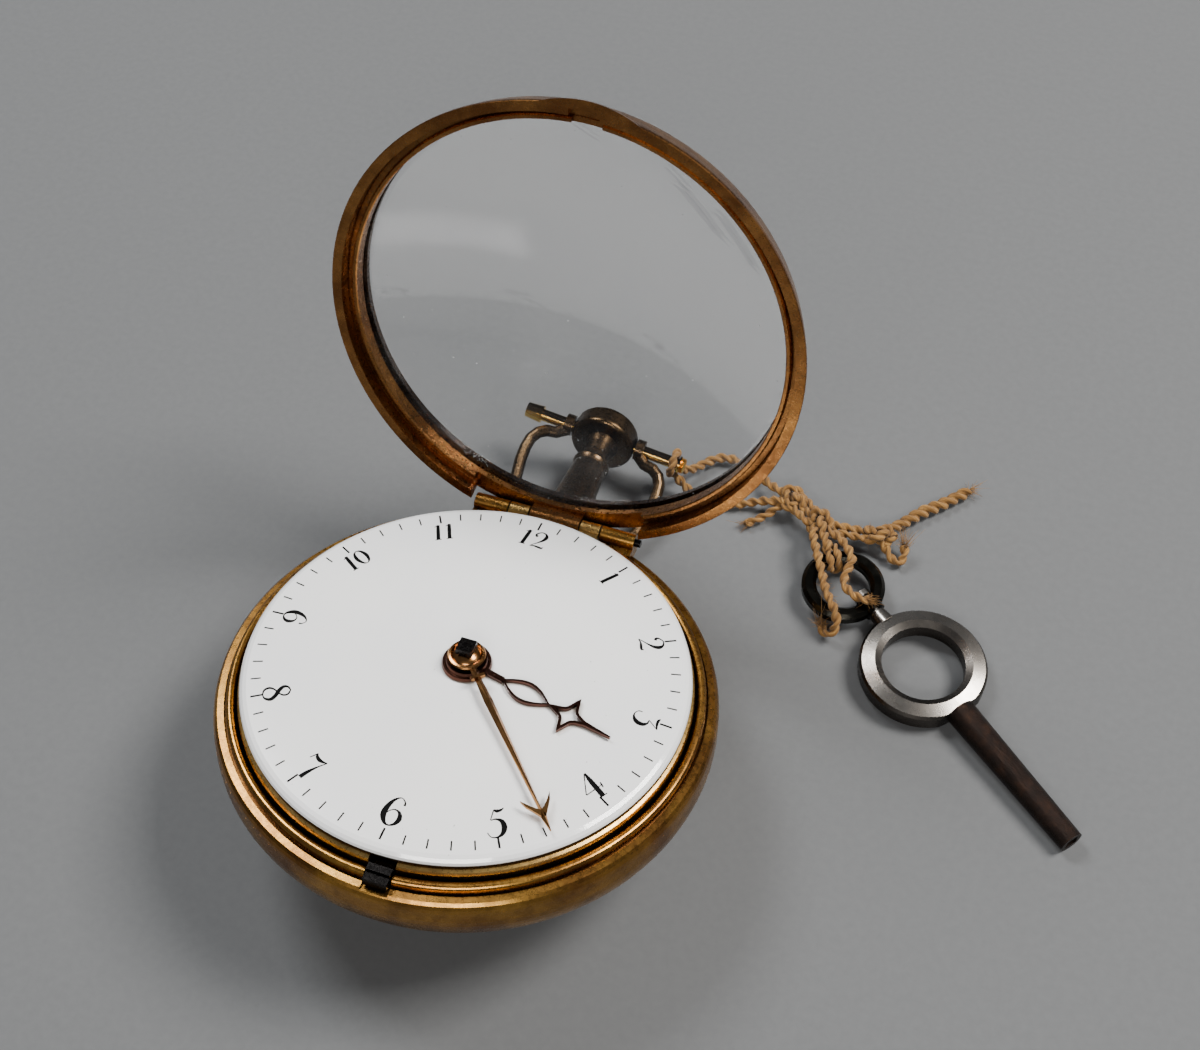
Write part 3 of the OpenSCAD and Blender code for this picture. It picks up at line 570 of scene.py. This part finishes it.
def lathe(name, profile, frame_matrix, segments, material, body, slot):
    """A closed profile of (radius, z) turned about Z. Points on the axis become one vertex."""
    verts, rings = [], []
    for r, z in profile:
        count = 1 if r < ON_AXIS else segments
        rings.append(list(range(len(verts), len(verts) + count)))
        for k in range(count):
            a = math.tau * k / segments
            verts.append(place(frame_matrix, (r * math.cos(a), r * math.sin(a), z)))
    faces = []
    for low, high in zip(rings, rings[1:] + rings[:1]):
        if len(low) == 1 and len(high) == 1:
            continue
        for k in range(segments):
            m = (k + 1) % segments
            ring = [low[k % len(low)], low[m % len(low)], high[m % len(high)], high[k % len(high)]]
            faces.append(tuple(dict.fromkeys(ring)))
    obj = add_mesh(name, verts, faces, material, body, slot)
    obj.data.set_sharp_from_angle(angle=math.radians(35))
    return obj


# ---- glass, turned finer than the part so that it reflects in smooth curves ----

EDGE_R, EDGE_IN_R = 20.8, 20.35       # the glass's outer and inner radius at its edge
SEAT_R, SEAT_Z, SEAT_TALL = 21.3, 0.4, 0.7
SKIRT, RISE, WALL = 1.5, 6.4, 0.8
DOME_STEPS, DOME_SEGMENTS = 40, 192
BULGE = RISE - SKIRT
DOME_R = (EDGE_R ** 2 + BULGE ** 2) / (2 * BULGE)
DOME_Z = SEAT_Z + SKIRT + BULGE - DOME_R
OUT_EDGE = math.degrees(math.acos(EDGE_R / DOME_R))
IN_EDGE = math.degrees(math.acos(EDGE_IN_R / (DOME_R - WALL)))
seat = [(EDGE_IN_R + 0.05, SEAT_Z), (SEAT_R, SEAT_Z), (SEAT_R, SEAT_Z + SEAT_TALL),
        (EDGE_R, SEAT_Z + SEAT_TALL), (EDGE_R, SEAT_Z + SKIRT - 0.15)]
dome = [(r if r > ON_AXIS else 0.0, z)
        for r, z in arc_points(DOME_Z, DOME_R, OUT_EDGE, 90, DOME_STEPS)
        + arc_points(DOME_Z, DOME_R - WALL, 90, IN_EDGE, DOME_STEPS)]
glass_dome = lathe("glass_dome", seat + dome, BEZEL, DOME_SEGMENTS,
                   M_GLASS, "bezel", "crystal_glass")
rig.replaces(glass_dome, "crystal")


# ---- twine helpers ----

SIDES = 18                    # points round the twine's cross-section
UNEVEN = 0.04                 # how much its thickness varies along it
STEP = 0.16                   # millimetres between the rings of points along it
HAIR_R, FRAY_R = 0.022, 0.035


def two_ply(angle, radius):
    """How far the surface of two twisted plies lies from their shared centre."""
    offset, ply = 0.46 * radius, 0.56 * radius
    return abs(offset * math.cos(angle)) + math.sqrt(ply ** 2 - (offset * math.sin(angle)) ** 2)


def rope(name, route, radius, pitch=2.5, phase=0.0, closed=False, taper=None, seed=1):
    """Two-ply twine along a route in millimetres. Returns the piece and its centre line."""
    path = smooth_path(route, STEP, closed)
    fr = frames_along(path, closed)
    rng = random.Random(seed)
    waves = [(rng.uniform(0.4, 1.6), rng.uniform(0, 6.28)) for _ in range(4)]
    verts, uvs, along = [], [], 0.0
    n = len(path)
    for i, (p, (_, s, u)) in enumerate(zip(path, fr)):
        if i:
            along += (p - path[i - 1]).length
        here = radius * (taper(i / (n - 1)) if taper else 1)
        here *= 1 + UNEVEN * sum(math.sin(f * along + q) for f, q in waves) / 2
        twist = phase + math.tau * along / pitch
        for k in range(SIDES):
            a = math.tau * k / SIDES
            r = two_ply(a, here)
            d = s * math.cos(a + twist) + u * math.sin(a + twist)
            verts.append((p + d * r) * MM)
            uvs.append((along, k / SIDES))
    faces = []
    rings = n if closed else n - 1
    for i in range(rings):
        j = (i + 1) % n
        for k in range(SIDES):
            m = (k + 1) % SIDES
            faces.append((i * SIDES + k, i * SIDES + m, j * SIDES + m, j * SIDES + k))
    if not closed:
        faces.append(tuple(range(SIDES - 1, -1, -1)))
        faces.append(tuple((n - 1) * SIDES + k for k in range(SIDES)))
    obj = add_mesh(name, verts, faces, M_TWINE, "case", "twine", uvs=uvs)
    return obj, path


def fibres(name, strands):
    """Many hair-thin tapered fibres: pairs of a thickness and a list of points, in millimetres."""
    verts, faces, uvs = [], [], []
    for thick, pts in strands:
        fr = frames_along(pts)
        base = len(verts)
        n = len(pts)
        for i, (p, (_, s, u)) in enumerate(zip(pts, fr)):
            r = thick * (1 - 0.75 * i / (n - 1))
            for k in range(3):
                a = math.tau * k / 3
                verts.append((p + s * (r * math.cos(a)) + u * (r * math.sin(a))) * MM)
                uvs.append((i * 0.3, k / 3))
        for i in range(n - 1):
            for k in range(3):
                m = (k + 1) % 3
                low = base + i * 3
                faces.append((low + k, low + m, low + 3 + m, low + 3 + k))
        faces.append((base + 2, base + 1, base))
        last = base + (n - 1) * 3
        faces.append((last, last + 1, last + 2))
    return add_mesh(name, verts, faces, M_FIBRE, "case", "twine", uvs=uvs)


def off_floor(p):
    """A point lifted, if it has to be, so that a hair there clears the floor."""
    return Vector((p.x, p.y, max(p.z, 0.06)))


def fuzz(path, radius, per_mm, seed):
    """Stray hairs that stand off a strand."""
    rng = random.Random(seed)
    fr = frames_along(path)
    length = sum((b - a).length for a, b in zip(path, path[1:]))
    out = []
    for _ in range(int(length * per_mm)):
        i = rng.randrange(len(path) - 1)
        t, s, u = fr[i]
        a = rng.uniform(0, math.tau)
        d = s * math.cos(a) + u * math.sin(a)
        lean = t * rng.uniform(-1.2, 1.2)
        size = 0.5 * rng.uniform(0.35, 1.0)
        start = path[i] + d * radius * 0.8
        curl = Vector([rng.uniform(-0.5, 0.5) for _ in range(3)])
        way = (d + lean).normalized()
        out.append((HAIR_R, [off_floor(start + way * size * q + curl * size * q * q)
                             for q in (0, 0.35, 0.7, 1)]))
    return out


def fray(tip, way, length, spread, count, seed):
    """A loose brush of fibres at a cut end."""
    rng = random.Random(seed)
    way = Vector(way).normalized()
    out = []
    for _ in range(count):
        jitter = Vector([rng.gauss(0, 1) for _ in range(3)])
        start = Vector(tip) + jitter * 0.16 - way * 0.3
        out_way = way + Vector([rng.gauss(0, 1) for _ in range(3)]) * spread
        curl = Vector([rng.gauss(0, 1) for _ in range(3)]) * 0.45
        size = length * rng.uniform(0.45, 1.0)
        out.append((FRAY_R, [off_floor(start + out_way * size * q + curl * size * q * q)
                             for q in (0, 0.25, 0.5, 0.75, 1)]))
    return out


# ---- twine ----

# the routes repeat the points that the part itself is made from
MAIN = [
    (7.85, 30.4, 2.8), (8.8, 30.95, 1.9), (9.7, 32, 1.2), (10.6, 33.4, 0.9), (11.9, 34.5, 0.9),
    (13.4, 34.7, 0.9), (15, 34.1, 0.9), (16.8, 33.1, 1.2), (18.6, 31.9, 1.7), (20.4, 31, 2.1),
    (21.9, 30.1, 2.2), (23.4, 28.9, 2.4), (24.7, 28.3, 2.5), (26.2, 28.6, 2.1), (27.9, 29.1, 1.6),
    (29.4, 29.3, 1.5), (30.6, 29.5, 1.6), (31.7, 30.6, 1.3), (32.9, 32.1, 0.9), (34.5, 34.2, 0.8),
    (36.3, 36, 0.75), (38.6, 38.6, 0.7),
]
RETURN = [
    (20.6, 30.2, 2.1), (19.2, 30, 1.8), (17.6, 29.9, 1.2), (16.1, 29.4, 0.8), (14.3, 28.7, 0.7),
    (12.6, 28.4, 0.7), (11.1, 28.5, 0.8), (10, 28.8, 1.3), (9, 29.1, 2), (7.95, 29.5, 2.7),
]
HANGER = [(24.9, 27.4, 2.9), (25.5, 26.3, 3.3), (26.1, 25.2, 3.5), (26.6, 24.3, 3.4)]
END_1 = [
    (20.4, 30.1, 1.9), (19.6, 29.5, 1.4), (19, 28.8, 1), (18.2, 28, 0.8), (17.5, 27.4, 0.7),
    (16.9, 26.9, 0.7),
]
END_2 = [
    (24.4, 27.4, 2.9), (24.4, 26.2, 3.3), (24.8, 25, 3.4), (25.6, 23.4, 3.4), (26.5, 21.6, 3.3),
    (27.3, 19.9, 3.25), (28.1, 18.6, 3.3), (28.9, 17.5, 3.2), (29.4, 16.6, 2.4), (29.2, 16, 1.3),
    (28.4, 16.1, 0.8), (27.9, 16.7, 1.0),
]
END_3 = [
    (25.2, 27.2, 3), (26.9, 26.5, 3.3), (28.2, 25.3, 3.5), (29.1, 23.9, 3.4), (28.9, 22.3, 3.25),
    (29.1, 20.8, 3.25), (30.2, 19.9, 3.3), (31.2, 19.6, 3.3), (31.9, 19.6, 3.45),
]
END_4 = [
    (31, 28.6, 1.7), (32, 27.9, 1.3), (32.8, 27.2, 0.9), (33.6, 27.0, 0.8), (34.0, 27.8, 1.1),
    (33.7, 28.7, 1.7),
]
TWINE_R = 0.53
KNOT_R, KNOT_PITCH = 0.54, 2.3

pieces, hairs = [], []


def tail_swell(t):
    """The last third of the main twine is two strands laid together."""
    return 1 + 0.3 * max(0.0, min(1.0, (t - 0.72) / 0.05))


main, main_path = rope("twine_main_strand", MAIN, TWINE_R, taper=tail_swell, seed=3)
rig.replaces(main, "twine_main")
for name, route, replaced, seed in (
        ("twine_return_strand", RETURN, "twine_return", 5),
        ("twine_hanger_strand", HANGER, "twine_hanger", 6),
        ("twine_end_1_strand", END_1, "twine_end_1", 7),
        ("twine_end_2_strand", END_2, "twine_end_2", 8),
        ("twine_end_3_strand", END_3, "twine_end_3", 9),
        ("twine_end_4_strand", END_4, "twine_end_4", 10)):
    radius = TWINE_R * (0.94 if "end" in name else 1)
    piece, line = rope(name, route, radius, phase=seed, seed=seed)
    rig.replaces(piece, replaced)
    pieces.append(piece)
    hairs += fuzz(line, TWINE_R, 5, 40 + seed)
hairs += fuzz(main_path, TWINE_R, 5, 31)

# second strands that lie beside the main one between its knots
for name, span, shift, seed in (("twine_beside_1", MAIN[9:13], (-0.45, -0.75, 0.1), 12),
                                ("twine_beside_2", MAIN[12:17], (0.1, -0.95, 0.1), 13),
                                ("twine_beside_3", MAIN[9:13], (0.6, 0.5, 0.25), 14)):
    route = [Vector(p) + Vector(shift) for p in span]
    piece, _ = rope(name, route, TWINE_R * 0.9, phase=seed, seed=seed)
    pieces.append(piece)


def trefoil(size, height):
    """Points of a trefoil knot about Z."""
    return [Vector((size * (2 + math.cos(3 * t)) / 3 * math.cos(2 * t),
                    size * (2 + math.cos(3 * t)) / 3 * math.sin(2 * t), height * math.sin(3 * t)))
            for t in (math.tau * k / 36 for k in range(36))]


def knot(name, centre, size, height, spin, lean, replaced, seed):
    """A tight knot: one strand wound through itself."""
    turn = Matrix.Translation(centre) @ Matrix.Rotation(spin, 4, "Z") @ Matrix.Rotation(lean, 4, "X")
    turn = turn @ Matrix.Diagonal((1.25, 0.9, 1, 1))
    piece, line = rope(name, [turn @ p for p in trefoil(size, height)], KNOT_R,
                       pitch=KNOT_PITCH, closed=True, seed=seed)
    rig.replaces(piece, replaced)
    pieces.append(piece)
    hairs.extend(fuzz(line, 0.5, 4, seed + 70))


knot("twine_wound_knot_1", (21.2, 30.5, 2.0), 1.25, 0.62, math.radians(-35), 0.5,
     "twine_knot_1", 21)
knot("twine_wound_knot_2", (24.7, 27.9, 2.7), 1.2, 0.6, math.radians(-60), 0.9,
     "twine_knot_2", 22)
knot("twine_wound_knot_3", (30.9, 29.1, 1.75), 1.15, 0.55, math.radians(15), -0.5,
     "twine_knot_3", 23)


HOOP_POINTS = 14              # per turn


def hoop(frame_matrix, radius, axis, along, turns=1, rise=0.0):
    """Points of a ring or a coil round an axis, in the part's frame."""
    out = []
    for k in range(HOOP_POINTS * turns):
        a = math.tau * k / HOOP_POINTS
        x, y = radius * math.cos(a), radius * math.sin(a)
        q = along + rise * k / HOOP_POINTS
        out.append(frame_matrix @ Vector((q, x, y) if axis == "X" else (x, q, y)))
    return out


tie, _ = rope("twine_bow_loop", hoop(PENDANT, 1.2, "X", 7.95), 0.46, closed=True, seed=24)
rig.replaces(tie, "twine_bow_tie")
pieces.append(tie)
LOOP_TIE = (KEY @ Matrix.Translation(LOOP_AT) @ Matrix.Rotation(math.radians(-13), 4, "Z")
            @ Matrix.Translation((-3.55, 0, 0)))
tie, _ = rope("twine_ring_loop", hoop(LOOP_TIE, 1.28, "Y", -0.45, turns=2, rise=0.9), 0.44, seed=25)
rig.replaces(tie, "twine_loop_tie")
pieces.append(tie)

for tip, way, length, spread, count, seed in (
        (MAIN[-1], (0.65, 0.75, 0.02), 1.5, 0.16, 46, 51),
        (END_1[-1], (-0.75, -0.6, 0.02), 1.0, 0.3, 40, 52),
        (END_2[-1], (-0.3, 0.7, 0.5), 1.6, 0.5, 70, 53),
        (END_3[-1], (0.9, 0.1, 0.1), 1.1, 0.3, 46, 54),
        (END_4[-1], (-0.2, 0.7, 0.8), 1.5, 0.45, 60, 55)):
    hairs += fray(tip, way, length, spread, count, seed)
pieces.append(fibres("twine_loose_fibres", hairs))

main_length = sum((b - a).length for a, b in zip(main_path, main_path[1:])) * MM
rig.cord(main, exit=tuple(main_path[0] * MM), length=main_length, diameter=0.0011, far_end="bare",
        stiffness="limp", lay="loose",
        path=[tuple(p * MM) for p in main_path[::3]] + [tuple(main_path[-1] * MM)],
        with_pieces=pieces)


# ---- dial: numerals and minute marks ----

def dial_z(x, y):
    """Height of the domed dial, in the watch's frame."""
    return 1.3 - 0.7 * (x * x + y * y) / 19.8 ** 2


# strokes of each numeral: points with half widths, on a grid 10 wide and 16 tall
STROKES = {
    "0": [[(5, 15.6, .22), (2.4, 13.6, .7), (1.1, 8, 1.15), (2.4, 2.4, .7), (5, .4, .22),
           (7.6, 2.4, .7), (8.9, 8, 1.15), (7.6, 13.6, .7), (5, 15.6, .22)]],
    "1": [[(6.2, 15.8, .9), (5.6, 11, 1.15), (4.9, 4, 1.15), (4.6, .4, 1.2)],
          [(3.4, 14.0, .18), (4.6, 14.6, .25), (6.0, 15.9, .3)],
          [(2.2, .2, .2), (4.6, .35, .3), (7, .2, .2)]],
    "2": [[(3.2, 10.8, .75), (2.0, 11.4, .7), (1.9, 13.2, .45), (4.9, 15.7, .28), (8.2, 14.6, .6),
           (9.3, 11.8, 1.1), (8.2, 8.6, .85), (5.4, 5.2, .35), (2.4, 2.2, .22), (1.0, .6, .2)],
          [(1.0, .5, .2), (3.6, 1.2, .4), (6.6, .95, .7), (9.6, .6, .6), (10.1, 2.0, .15)]],
    "3": [[(1.9, 15.4, .2), (3.2, 14.6, .65), (6.2, 14.5, .6), (9.6, 15.6, .2)],
          [(9.6, 15.6, .2), (5.0, 9.6, .2)],
          [(5.0, 9.5, .22), (7.4, 9.2, .45), (9.1, 6.8, 1.0), (8.6, 3.2, 1.15), (6.0, .7, .6),
           (3.0, .4, .25), (.9, 2.0, .2), (.8, 4.2, .2)]],
    "4": [[(7.4, 15.8, .2), (.4, 5.8, .2)],
          [(.4, 5.6, .22), (9.6, 5.6, .2)],
          [(7.9, 15.9, .35), (7.4, 11, 1.0), (7.0, 5, 1.15), (6.7, .5, 1.15)],
          [(4.4, .25, .22), (9.2, .25, .22)],
          [(10.0, 4.0, .2), (10.3, 5.6, .4), (10.7, 7.2, .2)]],
    "5": [[(5.2, 15.9, .3), (6.6, 14.9, .75), (8.8, 15.2, .5), (10.2, 16.2, .15)],
          [(5.1, 15.5, .2), (2.9, 10.4, .2)],
          [(2.9, 10.2, .2), (5.4, 10.5, .35), (8.2, 9.0, .9), (9.0, 5.4, 1.2), (7.4, 1.8, .8),
           (4.4, .35, .32), (1.6, 1.2, .2), (.4, 3.6, .18)]],
    "6": [[(9.0, 12.2, .5), (8.8, 13.8, .3), (6.2, 15.8, .2), (3.2, 13.6, .6), (1.4, 9, 1.1),
           (1.4, 4.8, 1.2), (3.4, 1.2, .65), (5.8, .35, .3), (8.4, 2, .7), (9.4, 5, 1.0),
           (8.2, 8, .6), (5.6, 9, .25), (3.2, 7.6, .2), (2.4, 6.2, .2)]],
    "7": [[(1.4, 15.6, .2), (2.6, 14.2, .7), (5.4, 13.7, .85), (8.0, 14.6, .45), (9.6, 15.5, .2)],
          [(1.4, 15.4, .2), (1.0, 13.2, .25), (.4, 11.2, .2)],
          [(9.5, 15.3, .2), (8.0, 10.4, .35), (7.0, 5, .85), (6.8, .4, 1.05)]],
    "8": [[(5, 15.7, .25), (2.5, 14.4, .5), (1.9, 12, .85), (4, 9.4, 1.0), (7.2, 7.2, 1.0),
           (9.2, 4.4, .95), (8, 1.4, .5), (5.2, .4, .25), (2.2, 1.4, .5), (1.2, 4.2, .6),
           (2.8, 7, .4), (5.6, 9, .3), (7.7, 11.4, .45), (7.6, 14.0, .45), (5, 15.7, .25)]],
}
GRID_W, GRID_H = 10, 16
STROKES["9"] = [[(GRID_W - x, GRID_H - y, w) for x, y, w in s] for s in STROKES["6"]]
HEIGHT = {                      # millimetres, for a numeral that stands alone
    "0": 2.1, "1": 2.05, "2": 2.35, "3": 2.5, "4": 2.75,
    "5": 2.75, "6": 2.9, "7": 2.7, "8": 2.6, "9": 2.4,
}
WIDTH = {"1": 6.2}              # grid units, where it isn't GRID_W
NUMERAL_R = 17.1                # where the middle of a numeral lies
WEIGHT = 1.2                    # how much bolder than its pattern each stroke is drawn
INK = 0.02                      # how far the ink stands out of the enamel, and reaches into it


def ribbon(verts, faces, pts, lay):
    """A flat stroke with thickness, laid on the dial by lay(x, y, lift)."""
    base = len(verts)
    n = len(pts)
    for i, q in enumerate(pts):
        a, b = pts[max(i - 1, 0)], pts[min(i + 1, n - 1)]
        d = Vector((b[0] - a[0], b[1] - a[1]))
        d = d.normalized() if d.length > 1e-9 else Vector((1, 0))
        nx, ny = -d.y * q[2] * WEIGHT, d.x * q[2] * WEIGHT
        for sign in (1, -1):
            for lift in (INK, -INK):
                verts.append(lay(q[0] + sign * nx, q[1] + sign * ny, lift))
    for i in range(n - 1):
        a, b = base + 4 * i, base + 4 * (i + 1)
        faces += [(a, b, b + 2, a + 2), (a + 1, a + 3, b + 3, b + 1),
                  (a, a + 1, b + 1, b), (a + 2, b + 2, b + 3, a + 3)]
    e = base + 4 * (n - 1)
    faces += [(base, base + 2, base + 3, base + 1), (e, e + 1, e + 3, e + 2)]


def numeral(hour):
    """One hour numeral with its foot towards the middle of the dial, or its head from 4 to 8."""
    text = str(hour)
    theta = math.radians(30 * hour)
    out = Vector((math.sin(theta), math.cos(theta)))
    right = Vector((math.cos(theta), -math.sin(theta)))
    up = out
    if 4 <= hour <= 8:
        up, right = -out, -right
    middle = out * (16.6 if hour == 6 else NUMERAL_R)
    unit = [HEIGHT[c] / GRID_H for c in text]
    if len(text) == 2:
        unit = [0.131, 0.131 if text != "12" else 0.14]
    widths = [WIDTH.get(c, GRID_W) * u for c, u in zip(text, unit)]
    x0 = -sum(widths) / 2 - 0.12 * (len(text) - 1)
    verts, faces = [], []
    for c, u, w in zip(text, unit, widths):
        shift = x0 - (1.6 * u if c == "1" else 0)
        for stroke in STROKES[c]:
            pts = smooth_path([Vector(p) for p in stroke], 1.1)

            def lay(gx, gy, lift, u=u, shift=shift):
                q = middle + right * (shift + gx * u) + up * ((gy - GRID_H / 2) * u)
                return place(WATCH, (q.x, q.y, dial_z(q.x, q.y) + lift))
            ribbon(verts, faces, [tuple(p) for p in pts], lay)
        x0 += w + 0.28
    add_mesh(f"numeral_{hour}", verts, faces, M_INK, "movement", "enamel", smooth=False)


for hour in range(1, 13):
    numeral(hour)

verts, faces = [], []
for minute in range(60):
    theta = math.radians(6 * minute)
    d = Vector((math.sin(theta), math.cos(theta)))
    across = Vector((math.cos(theta), -math.sin(theta)))
    inner, outer = (18.35, 19.45) if minute % 5 == 0 else (18.5, 19.4)

    def lay(gx, gy, lift, d=d, across=across):
        q = d * gy + across * gx
        return place(WATCH, (q.x, q.y, dial_z(q.x, q.y) + lift))
    half = 0.075 if minute % 5 == 0 else 0.055
    ribbon(verts, faces, [(0, inner, half), (0, (inner + outer) / 2, half), (0, outer, half)], lay)
add_mesh("minute_marks", verts, faces, M_INK, "movement", "enamel", smooth=False)


# ---- floor and light ----

FLOOR = 3.0                     # metres from the middle to each side

floor_mesh = bpy.data.meshes.new("floor")
floor_mesh.from_pydata([(-FLOOR, -FLOOR, 0), (FLOOR, -FLOOR, 0), (FLOOR, FLOOR, 0),
                        (-FLOOR, FLOOR, 0)], [], [(0, 1, 2, 3)])
floor = bpy.data.objects.new("floor", floor_mesh)
bpy.context.scene.collection.objects.link(floor)
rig.stage(floor)
paper = Mat("paper").set(Roughness=0.85)
paper.colour(paper.ramp(paper.noise(1.2, 4), (0.3, (0.110, 0.113, 0.116)),
                        (0.7, (0.120, 0.123, 0.126))))
floor_mesh.materials.append(paper.mat)

world = bpy.data.worlds.new("studio")
bpy.context.scene.world = world
world.use_nodes = True
sky = world.node_tree.nodes["Background"].inputs
sky["Color"].default_value = (0.84, 0.88, 0.95, 1)
sky["Strength"].default_value = 0.12


LIT = Vector((0, 0, 0.01))      # the point that the lights face


def area(name, at, size, power, colour, size_y=None):
    data = bpy.data.lights.new(name, "AREA")
    data.energy = power
    data.size = size
    data.color = colour
    if size_y:
        data.shape = "RECTANGLE"
        data.size_y = size_y
    obj = bpy.data.objects.new(name, data)
    bpy.context.scene.collection.objects.link(obj)
    obj.location = at
    obj.rotation_mode = "QUATERNION"
    obj.rotation_quaternion = (LIT - Vector(at)).to_track_quat("-Z", "Y")


area("key_light", (0.34, 0.20, 0.52), 0.24, 6.4, (1.0, 0.975, 0.94))
area("left_light", (-0.32, 0.20, 0.50), 0.20, 3.0, (0.97, 0.985, 1.0))
area("front_light", (0.10, -0.45, 0.42), 0.34, 2.0, (1.0, 0.98, 0.95), size_y=0.10)

with open("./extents.json", "w") as f:
    json.dump({"cad": [list(c) for c in cad_box], "visual": [list(c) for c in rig.bounds()]}, f)
